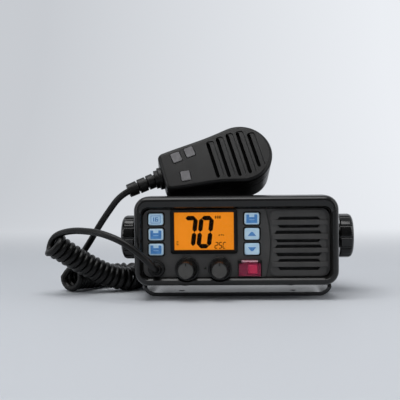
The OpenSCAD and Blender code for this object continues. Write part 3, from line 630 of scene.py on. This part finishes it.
def tray(x, z):
    """A tray seen from the side: two posts on a deep floor that has a pale line in it."""
    return [(x - 4.2, x - 2.0, z + 1.1, z + 3.2), (x + 2.0, x + 4.2, z + 1.1, z + 3.2),
            (x - 4.2, x + 4.2, z - 0.6, z + 1.2), (x - 4.2, x - 2.0, z - 1.0, z - 0.55),
            (x + 2.0, x + 4.2, z - 1.0, z - 0.55), (x - 4.2, x + 4.2, z - 3.3, z - 0.95)]


for node, x, z in (('key_left_middle', left_x, middle_z), ('key_left_low', left_x, low_z),
                   ('key_right_top', right_x, top_z)):
    key_cap(node, x, z, tray(x, z))
key_cap('key_up', right_x, middle_z, [(9.2, 15.4, 49.7, 52.7, 1.5)])
key_cap('key_down', right_x, low_z, [(9.2, 15.4, 38.0, 41.0, -1.5)])
# a thin frame of four lines round the figures 1 and 6
frame_16 = [(-65.5, -57.9, 65.5, 65.85), (-65.5, -57.9, 59.95, 60.3),
            (-65.5, -65.15, 60, 65.8), (-58.25, -57.9, 60, 65.8),
            (-63.6, -62.85, 61.3, 64.5), (-62.1, -61.4, 61.3, 64.5), (-62.1, -59.7, 61.3, 61.85),
            (-62.1, -59.7, 62.7, 63.2), (-62.1, -59.9, 63.95, 64.5), (-60.4, -59.7, 61.3, 63.2)]
key_cap('key_16', left_x, top_z, frame_16)

# ---- Dials ----
# Volume and squelch dials of black plastic, pushed on their shafts: a plain
# skirt, a ribbed tapering grip and a flat grey-black front.
dial_black = shader('dial_black', (0.0035, 0.0035, 0.0033), 0.3, Specular_IOR_Level=0.35)
tint(dial_black, 8 * mm, (0.0028, 0.0028, 0.0026), (0.005, 0.005, 0.0047))
sheen_range(dial_black, 4 * mm, 0.24, 0.34)
relief(dial_black, 0.4 * mm, 0.04 * mm, 0.6)
dial_front = shader('dial_front', (0.064, 0.062, 0.058), 0.5)
tint(dial_front, 5 * mm, (0.056, 0.055, 0.051), (0.072, 0.07, 0.065))
relief(dial_front, 0.4 * mm, 0.05 * mm, 0.7)
skirt_front, dial_sides = -47.4, 96
for node, x, r in dials:
    dial = bar_tool(x, dial_z, skirt_front, -45.4, r, dial_sides)
    dial.name = dial.data.name = node + '_dial'
    bpy.ops.object.mode_set(mode='EDIT')
    faces_at(dial, skirt_front)
    bpy.ops.mesh.inset(thickness=0.3 * mm, depth=0.3 * mm)
    bpy.ops.mesh.inset(thickness=0.9 * mm, depth=0)
    bpy.ops.mesh.inset(thickness=0.45 * mm, depth=1.2 * mm)
    bpy.ops.mesh.inset(thickness=(r - 1.65 - r * 0.72) * mm, depth=8.9 * mm)
    bpy.ops.mesh.inset(thickness=0.45 * mm, depth=1.9 * mm)
    bpy.ops.mesh.inset(thickness=0.35 * mm, depth=0.35 * mm)
    bpy.ops.mesh.inset(thickness=0.2 * mm, depth=0)
    bpy.ops.mesh.inset(thickness=0.15 * mm, depth=-0.2 * mm)
    dial.data.materials.append(dial_black)
    dial.data.materials.append(dial_front)
    dial.active_material_index = 1
    bpy.ops.object.material_slot_assign()
    middle_at = Vector((x, -53, dial_z)) * mm

    def rib(face):
        """One in four of the narrow faces round the grip."""
        at = face.calc_center_median()
        turn = math.atan2(at.z - middle_at.z, at.x - middle_at.x)
        place = int((turn + math.pi) / (2 * math.pi) * dial_sides)
        return -59 * mm < at.y < -48.6 * mm and abs(face.normal.y) < 0.5 and place % 4 == 0

    mark(dial, 'FACE', rib)
    bpy.ops.mesh.inset(thickness=0.08 * mm, depth=-0.45 * mm, use_individual=True)
    bpy.ops.object.mode_set(mode='OBJECT')
    soften(dial, 0.12)
    cut(dial, plain_slab('notch', 0.9, 2.4, -61, -59.2, 0.2, x, 29, steps=2))
    fit(dial, None, 'dial_black', node)

# ---- Microphone gland ----
# A moulded rubber gland, seated in a hole in the panel, that grips the cord
# where it leaves the radio.
rubber = shader('rubber_black', (0.005, 0.0048, 0.0046), 0.42, Specular_IOR_Level=0.3)
tint(rubber, 6 * mm, (0.004, 0.0038, 0.0036), (0.007, 0.0068, 0.0065))
sheen_range(rubber, 3 * mm, 0.34, 0.48)
relief(rubber, 0.5 * mm, 0.06 * mm, 0.7, detail=4)
dress('mic_cable_gland', 0.35, 'cord_gland', rubber, 'rubber_black', 3)

# ---- Distress key ----
# A crimson key in a black well, guarded by a sprung cover of clear red plastic
# that swings up on a steel pin.
dress('distress_frame', 0.2, 'distress_well', trim_black, 'trim_black')
red_clear = shader('red_clear', (0.85, 0.07, 0.2), 0.1, Alpha=0.16)
tint(red_clear, 7 * mm, (0.75, 0.05, 0.16), (0.95, 0.1, 0.24))
sheen_range(red_clear, 5 * mm, 0.08, 0.18)
dress('distress_cover', 0.3, 'distress_flap', red_clear, 'red_clear')
red_plastic = shader('red_plastic', (0.9, 0.015, 0.1), 0.4)
tint(red_plastic, 5 * mm, (0.84, 0.012, 0.09), (0.96, 0.022, 0.12))
sheen_range(red_plastic, 3 * mm, 0.34, 0.46)
dress('distress_button', 0.4, 'distress_button_cap', red_plastic, 'red_key')
steel = shader('steel', (0.6, 0.6, 0.61), 0.3, 1.0)
sheen_range(steel, 2 * mm, 0.22, 0.38, detail=3, stretch=(1, 8, 1))
tint(steel, 6 * mm, (0.54, 0.54, 0.55), (0.66, 0.66, 0.67))
relief(steel, 0.6 * mm, 0.02 * mm, 0.4)
dress('distress_cover_pin', 0.15, 'flap_pin', steel, 'steel')

# ---- Yoke ----
# A strap of black painted steel bent to a U. Its four base holes take the
# screws, and the radio tilts between its two rounded arms.
yoke_paint = shader('yoke_paint', (0.02, 0.02, 0.021), 0.36)
tint(yoke_paint, 25 * mm, (0.018, 0.018, 0.019), (0.026, 0.026, 0.027))
sheen_range(yoke_paint, 30 * mm, 0.22, 0.26)
relief(yoke_paint, 1.5 * mm, 0.004 * mm, 0.3, detail=2)
dress('mount_bracket', 0.8, 'yoke', yoke_paint, 'yoke_black_paint', 3)

# ---- Side clamps ----
# Two fluted knobs of gloss black plastic moulded on steel screws, each with a
# rubber washer against the yoke's arm.
gloss_black = shader('gloss_black', (0.003, 0.003, 0.0028), 0.16, Specular_IOR_Level=0.4)
tint(gloss_black, 10 * mm, (0.0024, 0.0024, 0.0022), (0.0045, 0.0043, 0.004))
sheen_range(gloss_black, 5 * mm, 0.12, 0.2)
relief(gloss_black, 0.7 * mm, 0.03 * mm, 0.5)
for side in ('left', 'right'):
    dress(side + '_clamp_knob', 0.5, side + '_knob', gloss_black, 'dial_black', 3, 28)
    dress(side + '_clamp_washer', 0.3, side + '_washer', rubber, 'rubber_black')
    dress(side + '_clamp_screw', 0.2, side + '_screw', steel, 'steel')

# ---- Case ----
# A die-cast box with cooling ribs on its back, painted black and closed to the
# housing through a flat seal by four long screws.
case_paint = shader('case_paint', (0.011, 0.011, 0.011), 0.42, Specular_IOR_Level=0.4)
tint(case_paint, 30 * mm, (0.0095, 0.0095, 0.0093), (0.0145, 0.0145, 0.014))
sheen_range(case_paint, 9 * mm, 0.38, 0.52)
relief(case_paint, 1.1 * mm, 0.1 * mm, 0.7, detail=4)
dress('rear_chassis', 0.7, 'case', case_paint, 'case_black', 3)
dress('case_gasket', 0.2, 'case_seal', rubber, 'rubber_black')
dress('rear_screws', 0.25, 'case_screws', steel, 'steel')
socket_nickel = shader('socket_nickel', (0.62, 0.6, 0.56), 0.25, 1.0)
tint(socket_nickel, 7 * mm, (0.56, 0.54, 0.5), (0.68, 0.66, 0.61))
sheen_range(socket_nickel, 4 * mm, 0.2, 0.34)
dress('antenna_socket', 0.3, 'aerial_socket', socket_nickel, 'socket_nickel')
dress('power_lead_grommet', 0.4, 'power_grommet', rubber, 'rubber_black', 3)
dress('data_lead_grommet', 0.4, 'data_grommet', rubber, 'rubber_black', 3)
brass = shader('insert_brass', (0.6, 0.42, 0.16), 0.3, 1.0)
tint(brass, 5 * mm, (0.54, 0.37, 0.13), (0.66, 0.47, 0.2))
sheen_range(brass, 3 * mm, 0.24, 0.38)
dress('side_spacers', 0.25, 'spacers', rubber, 'rubber_black')
dress('side_inserts', 0.25, 'inserts', brass, 'insert_brass')

# ---- Microphone ----
# Two black shells screwed together round a thin seal, with a broad round end
# and a narrow one. The face has a soft rim and five long sound slots.
mic_frame = (Matrix.Translation(Vector((4.1, -10, 114.7)) * mm) @ Matrix.Rotation(math.radians(5), 4, 'Z')
             @ Matrix.Rotation(math.radians(-26), 4, 'X') @ Matrix.Rotation(math.radians(-14.5), 4, 'Y'))
round_r, neck_x, neck_z, neck_r = 25.8, -61.5, 12, 5
lean = 98.35
# depths of the face and of the shells' meeting edges, and the thickness of those edges
face_y, front_back, rear_front, edge_wall = 2.4, 12, 13, 3


def shell_edge():
    """The microphone's outline, seen from the front, in its own X and Z in millimetres."""
    line = [(round_r * math.cos(math.radians(a)), round_r * math.sin(math.radians(a)))
            for a in [-lean + 2 * lean * i / 64 for i in range(65)]]
    c, s = math.cos(math.radians(lean)), math.sin(math.radians(lean))
    for side, dip in ((1, 0.8), (-1, 1.6)):
        flank = []
        for i in range(1, 16):
            t = i / 16
            pull = dip * math.sin(math.pi * t ** 0.7) ** 2
            flank.append((round_r * c + (neck_x + neck_r * c - round_r * c) * t - pull * c,
                          side * (round_r * s + (neck_z + neck_r * s - round_r * s) * t - pull * s)))
        ways = [math.radians(lean + (180 - lean) * i / 8) for i in range(9)]
        corner = [(neck_x + neck_r * math.cos(way), side * (neck_z + neck_r * math.sin(way))) for way in ways]
        line += flank + corner if side == 1 else (flank + corner)[::-1]
    return line


def shell_plate(name, y):
    """A flat plate with the microphone's outline at that depth, left in edit mode."""
    edge = shell_edge()
    bpy.ops.object.select_all(action='DESELECT')
    bpy.ops.mesh.primitive_circle_add(vertices=len(edge), radius=0.02, fill_type='NGON')
    plate = bpy.context.object
    plate.name = plate.data.name = name
    for point, (x, z) in zip(plate.data.vertices, edge):
        point.co = Vector((x, y, z)) * mm
    bpy.ops.object.mode_set(mode='EDIT')
    return plate


def on_mic(piece):
    """Moves a piece drawn in the microphone's own frame to its place on the radio."""
    piece.data.transform(mic_frame)
    piece.data.update()


def outward(piece):
    """Merges the piece's doubles and turns all its faces outward."""
    alone(piece)
    bpy.ops.object.mode_set(mode='EDIT')
    bpy.ops.mesh.select_all(action='SELECT')
    bpy.ops.mesh.remove_doubles(threshold=1e-6)
    bpy.ops.mesh.normals_make_consistent(inside=False)
    bpy.ops.object.mode_set(mode='OBJECT')


front_shell = shell_plate('mic_front', front_back)
bpy.ops.mesh.select_all(action='SELECT')
bpy.ops.mesh.extrude_region_move(TRANSFORM_OT_translate={'value': (0, -9.6 * mm, 0)})
bpy.ops.object.mode_set(mode='OBJECT')
outward(front_shell)
bpy.ops.object.mode_set(mode='EDIT')
faces_at(front_shell, face_y)
for inward, forward in ((0.3, 0.75), (0.5, 0.7), (0.75, 0.55), (0.7, 0.3), (0.4, 0.1)):
    bpy.ops.mesh.inset(thickness=inward * mm, depth=forward * mm)
faces_at(front_shell, front_back, 1)
bpy.ops.mesh.inset(thickness=edge_wall * mm, depth=0)
bpy.ops.mesh.extrude_region_move(TRANSFORM_OT_translate={'value': (0, -8.5 * mm, 0)})
bpy.ops.object.mode_set(mode='OBJECT')
# each sound slot: its place along the face and half its length
for x, half in ((-22, 17.4), (-13.3, 19.3), (-4.6, 20.6), (4.1, 20.4), (12.8, 16.6)):
    trough = rounded_slab('trough', 7.3, 2 * half, -2, 0.9, 2.2, x, 0, steps=5)
    faces_at(trough, 0.9, 1)
    bpy.ops.transform.resize(value=(0.86, 1, 0.97))
    bpy.ops.object.mode_set(mode='OBJECT')
    cut(front_shell, trough)
    cut(front_shell, plain_slab('sound_slot', 3.0, 2 * half - 2, -2, 2.7, 1.3, x - 1.75, 0, steps=4))
# each face key's pocket: its place and its turn in degrees
for x, z, turn in ((-52, 9.6, 7), (-40.3, 11.6, 7), (-49, -8.4, -5)):
    pocket = plain_slab('key_pocket', 8.6, 9.6, -2, 5, 1.4, 0, 0, steps=4)
    pocket.data.transform(Matrix.Translation(Vector((x, 0, z)) * mm)
                          @ Matrix.Rotation(math.radians(-turn), 4, 'Y'))
    cut(front_shell, pocket)


def talk_opening():
    """A tool that opens the shells' upper edge for the talk button."""
    opening = plain_slab('talk_opening', 34.6, 13, 6, 16, 0.4, 0, 23.5, steps=2)
    opening.data.transform(Matrix.Translation(Vector((-26, 0, 0)) * mm)
                           @ Matrix.Rotation(math.radians(-8.4), 4, 'Y'))
    return opening


cut(front_shell, talk_opening())
soften(front_shell, 0.4, 3)
on_mic(front_shell)
mic_black = shader('mic_black', (0.0045, 0.0043, 0.0043), 0.34, Specular_IOR_Level=0.3)
tint(mic_black, 16 * mm, (0.0036, 0.0034, 0.0034), (0.0062, 0.006, 0.0058))
sheen_range(mic_black, 7 * mm, 0.3, 0.38)
relief(mic_black, 0.4 * mm, 0.05 * mm, 0.7, detail=4)
fit(front_shell, mic_black, 'mic_black', 'mic_front_shell')
# painted shade: the slot floors and their deep walls get a near-black finish that stands in for the shade
# inside the slots
painted_slot_shade = shader('painted_slot_shade', (0.0015, 0.0015, 0.0015), 0.9, Specular_IOR_Level=0.05)
tint(painted_slot_shade, 0.6 * mm, (0.0008, 0.0008, 0.0008), (0.003, 0.003, 0.0028), detail=2)
front_shell.data.materials.append(painted_slot_shade)
from_mic = mic_frame.inverted()
alone(front_shell)
bpy.ops.object.mode_set(mode='EDIT')
mark(front_shell, 'FACE', lambda f: 1.35 * mm < (from_mic @ f.calc_center_median()).y < 2.75 * mm
     and (from_mic @ f.calc_center_median()).x > -30 * mm)
front_shell.active_material_index = 1
bpy.ops.object.material_slot_assign()
bpy.ops.object.mode_set(mode='OBJECT')


def slanted_back(x):
    """Depth of the microphone's slanting back at that place along it, in millimetres."""
    return 17.2 + (x + 75) * 23.7 / 115


rear_shell = shell_plate('mic_rear', rear_front)
bpy.ops.mesh.select_all(action='SELECT')
bpy.ops.mesh.extrude_region_move(TRANSFORM_OT_translate={'value': (0, 30 * mm, 0)})
bpy.ops.object.mode_set(mode='OBJECT')
outward(rear_shell)
bpy.ops.object.mode_set(mode='EDIT')
faces_at(rear_shell, rear_front)
bpy.ops.mesh.inset(thickness=edge_wall * mm, depth=0)
bpy.ops.mesh.extrude_region_move(TRANSFORM_OT_translate={'value': (0, 20 * mm, 0)})
bpy.ops.object.mode_set(mode='OBJECT')
# the back slants, and the hollow behind the seal keeps a wall of the same 3 mm
for point in rear_shell.data.vertices:
    if point.co.y > 42 * mm:
        point.co.y = slanted_back(point.co.x / mm) * mm
    elif point.co.y > 30 * mm:
        point.co.y = (slanted_back(point.co.x / mm) - edge_wall) * mm
alone(rear_shell)
bpy.ops.object.mode_set(mode='EDIT')
mark(rear_shell, 'EDGE', lambda e: all(abs(v.co.y - slanted_back(v.co.x / mm) * mm) < 1e-5 for v in e.verts))
bpy.ops.mesh.bevel(offset=2.6 * mm, segments=5, clamp_overlap=True)
bpy.ops.object.mode_set(mode='OBJECT')
cut(rear_shell, talk_opening())
# three holes for the screws and one for the stud
for x, z, front, radius in ((-52, 0, 12, 1.3), (14, 12, 12, 1.3), (14, -12, 12, 1.3), (-14, 0, 26, 2.6)):
    cut(rear_shell, bar_tool(x, z, front, 45, radius, 32))
soften(rear_shell, 0.2)
on_mic(rear_shell)
fit(rear_shell, mic_black, 'mic_black', 'mic_rear_shell')
dress('mic_gasket', 0, 'mic_seal', rubber, 'rubber_black')
dress('mic_ptt_button', 0.7, 'talk_button_cap', rubber, 'rubber_black', 3)
mic_key_grey = shader('mic_key_grey', (0.155, 0.15, 0.155), 0.5, Specular_IOR_Level=0.3)
tint(mic_key_grey, 4 * mm, (0.135, 0.13, 0.135), (0.18, 0.175, 0.18))
sheen_range(mic_key_grey, 3 * mm, 0.44, 0.56)
relief(mic_key_grey, 0.45 * mm, 0.05 * mm, 0.7, detail=4)
for letter in 'abc':
    dress('mic_key_' + letter, 0.45, 'mic_key_cap_' + letter, mic_key_grey, 'mic_key_grey', 3)
dress('mic_boot', 0.45, 'mic_cord_boot', rubber, 'rubber_black', 3)
dress('mic_hanger_stud', 0.5, 'hanger_stud', steel, 'steel', 3)
dress('mic_shell_screws', 0.2, 'mic_screws', steel, 'steel')

# ---- Inside ----
# Boards, amplifier, loudspeaker, control shafts and the microphone's capsule.
# They keep their solids and get the finish that each has in the workshop.
board_green = shader('board_green', (0.012, 0.09, 0.035), 0.35)
tint(board_green, 3 * mm, (0.008, 0.06, 0.022), (0.018, 0.13, 0.05),
     0.46, 0.54, detail=2, stretch=(1, 1, 6))
sheen_range(board_green, 8 * mm, 0.28, 0.42)
zinc = shader('pot_zinc', (0.42, 0.42, 0.43), 0.4, 1.0)
tint(zinc, 3 * mm, (0.36, 0.36, 0.37), (0.48, 0.48, 0.49))
sheen_range(zinc, 2 * mm, 0.32, 0.5)
alloy = shader('module_alloy', (0.5, 0.5, 0.51), 0.42, 1.0)
tint(alloy, 8 * mm, (0.44, 0.44, 0.45), (0.56, 0.56, 0.57), detail=3, stretch=(8, 1, 1))
sheen_range(alloy, 5 * mm, 0.34, 0.52)
horn_steel = shader('speaker_steel', (0.02, 0.02, 0.021), 0.55)
tint(horn_steel, 9 * mm, (0.015, 0.015, 0.016), (0.028, 0.028, 0.03))
relief(horn_steel, 0.6 * mm, 0.05 * mm, 0.6)
cone_paper = shader('cone_paper', (0.012, 0.012, 0.012), 0.85)
tint(cone_paper, 2.5 * mm, (0.008, 0.008, 0.008), (0.018, 0.018, 0.018), detail=5)
relief(cone_paper, 0.7 * mm, 0.1 * mm, 0.8, detail=5)
for finish, slot, nodes in (
        (board_green, 'board_green', ('front_board', 'main_board', 'mic_board')),
        (steel, 'steel', ('volume_shaft', 'squelch_shaft')),
        (zinc, 'pot_zinc', ('control_pots', 'mic_capsule')),
        (alloy, 'module_metal', ('power_module',)),
        (horn_steel, 'module_metal', ('speaker_frame',)),
        (cone_paper, 'cone_black', ('speaker_cone',))):
    for node in nodes:
        kept = frame['nodes'][node]
        kept.data.materials.clear()
        kept.data.materials.append(finish)
felt = rounded_slab('grille_felt', 40, 47, -42.8, -42.3, 3, 48.2, 43.4, steps=4)
bpy.ops.mesh.select_all(action='SELECT')
bpy.ops.mesh.subdivide(number_cuts=6)
bpy.ops.object.mode_set(mode='OBJECT')
felt.data.materials.append(cone_paper)
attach(felt, 'radio')

# ---- Studio ----
# A pale grey table that curves up into the backdrop, a soft box above and in
# front, a narrow one at each side, and a room that is dim behind the camera.
bpy.ops.object.select_all(action='DESELECT')
bpy.ops.mesh.primitive_plane_add(size=1, location=(0, -3.05, 0))
table = bpy.context.object
table.name = 'table'
table.scale = (14, 7.9, 1)
bpy.ops.object.transform_apply(location=True, rotation=True, scale=True)
bpy.ops.object.mode_set(mode='EDIT')
sweep_r, sweep_steps = 0.8, 12
mark(table, 'EDGE', lambda e: all(v.co.y > 0.8 for v in e.verts))
for i in range(sweep_steps):
    low, high = math.radians(90 / sweep_steps * i), math.radians(90 / sweep_steps * (i + 1))
    bpy.ops.mesh.extrude_region_move(TRANSFORM_OT_translate={
        'value': (0, sweep_r * (math.sin(high) - math.sin(low)), sweep_r * (math.cos(low) - math.cos(high)))})
bpy.ops.mesh.extrude_region_move(TRANSFORM_OT_translate={'value': (0, 0, 2)})
bpy.ops.object.mode_set(mode='OBJECT')
bpy.ops.object.shade_smooth()
table_grey = shader('table_grey', (0.62, 0.64, 0.67), 0.6)
table_grey.node_tree.nodes['Principled BSDF'].inputs['Specular IOR Level'].default_value = 0.2
nodes, links = table_grey.node_tree.nodes, table_grey.node_tree.links
where = nodes.new('ShaderNodeTexCoord')
split = nodes.new('ShaderNodeSeparateXYZ')
links.new(where.outputs['Object'], split.inputs['Vector'])


def spread(axis, start, stop):
    """0 at start, 1 at stop along that axis of the room, eased at both ends."""
    run = nodes.new('ShaderNodeMapRange')
    run.interpolation_type = 'SMOOTHSTEP' if axis == 'Y' else 'LINEAR'
    run.inputs['From Min'].default_value, run.inputs['From Max'].default_value = start, stop
    links.new(split.outputs[axis], run.inputs['Value'])
    return run.outputs['Result']


def across(left, right, left_x, right_x):
    """A colour that runs from the left one to the right one between those places."""
    ramp = nodes.new('ShaderNodeValToRGB')
    ramp.color_ramp.elements[0].color = (*left, 1)
    ramp.color_ramp.elements[1].color = (*right, 1)
    links.new(spread('X', left_x, right_x), ramp.inputs['Fac'])
    return ramp.outputs['Color']


def combine(how, one, other):
    """One number made from two."""
    result = nodes.new('ShaderNodeMath')
    result.operation = how
    links.new(one, result.inputs[0])
    links.new(other, result.inputs[1])
    return result.outputs['Value']


# painted light: the floor's pale grey is painted lighter towards the right, where more light falls
floor_grey_and_painted_light = across((0.60, 0.625, 0.66), (0.70, 0.72, 0.755), -0.35, 0.35)
links.new(floor_grey_and_painted_light, nodes['Principled BSDF'].inputs['Base Color'])
# painted light: farther back, camera and mirror rays see the table as a glow instead of lit, painted darker
# at the left and brighter at the right
painted_backdrop_glow = nodes.new('ShaderNodeEmission')
links.new(across((0.575, 0.597, 0.632), (0.835, 0.86, 0.9), -0.62, 0.42), painted_backdrop_glow.inputs['Color'])
rays = nodes.new('ShaderNodeLightPath')
mirrored = combine('MAXIMUM', rays.outputs['Is Glossy Ray'], rays.outputs['Is Transmission Ray'])
seen = combine('MAXIMUM', rays.outputs['Is Camera Ray'], mirrored)
mixed = nodes.new('ShaderNodeMixShader')
links.new(combine('MULTIPLY', seen, spread('Y', 0.15, 0.8)), mixed.inputs['Fac'])
links.new(nodes['Principled BSDF'].outputs['BSDF'], mixed.inputs[1])
links.new(painted_backdrop_glow.outputs['Emission'], mixed.inputs[2])
links.new(mixed.outputs['Shader'], nodes['Material Output'].inputs['Surface'])
table.data.materials.append(table_grey)


def soft_box(name, place, aim, wide, high, power):
    """An area lamp of that size in metres and power in watts, turned to its aim."""
    bpy.ops.object.select_all(action='DESELECT')
    bpy.ops.object.light_add(type='AREA', location=place)
    lamp = bpy.context.object
    lamp.name = name
    lamp.data.shape = 'RECTANGLE'
    lamp.data.size, lamp.data.size_y = wide, high
    lamp.data.energy = power
    lamp.rotation_euler = (Vector(aim) - Vector(place)).to_track_quat('-Z', 'Y').to_euler()


soft_box('lamp_above', (-0.15, -0.3, 1.2), (0, 0, 0.05), 1.1, 0.65, 8.8)
soft_box('lamp_left', (-1.0, -0.5, 0.45), (0, 0, 0.06), 0.3, 0.9, 2)
soft_box('lamp_right', (1.0, -0.4, 0.5), (0, 0, 0.06), 0.3, 0.9, 2)
world = bpy.data.worlds.new('studio')
bpy.context.scene.world = world
world.use_nodes = True
sky = world.node_tree.nodes['Background']
sky.inputs['Color'].default_value = (0.86, 0.89, 0.93, 1)
ways = world.node_tree.nodes.new('ShaderNodeTexCoord')
depth = world.node_tree.nodes.new('ShaderNodeSeparateXYZ')
fade = world.node_tree.nodes.new('ShaderNodeMapRange')
fade.inputs['From Min'].default_value, fade.inputs['From Max'].default_value = -0.9, 0.3
fade.inputs['To Min'].default_value, fade.inputs['To Max'].default_value = 0.12, 0.62
world.node_tree.links.new(ways.outputs['Generated'], depth.inputs['Vector'])
world.node_tree.links.new(depth.outputs['Y'], fade.inputs['Value'])
world.node_tree.links.new(fade.outputs['Result'], sky.inputs['Strength'])
bpy.context.scene.view_settings.view_transform = 'Standard'
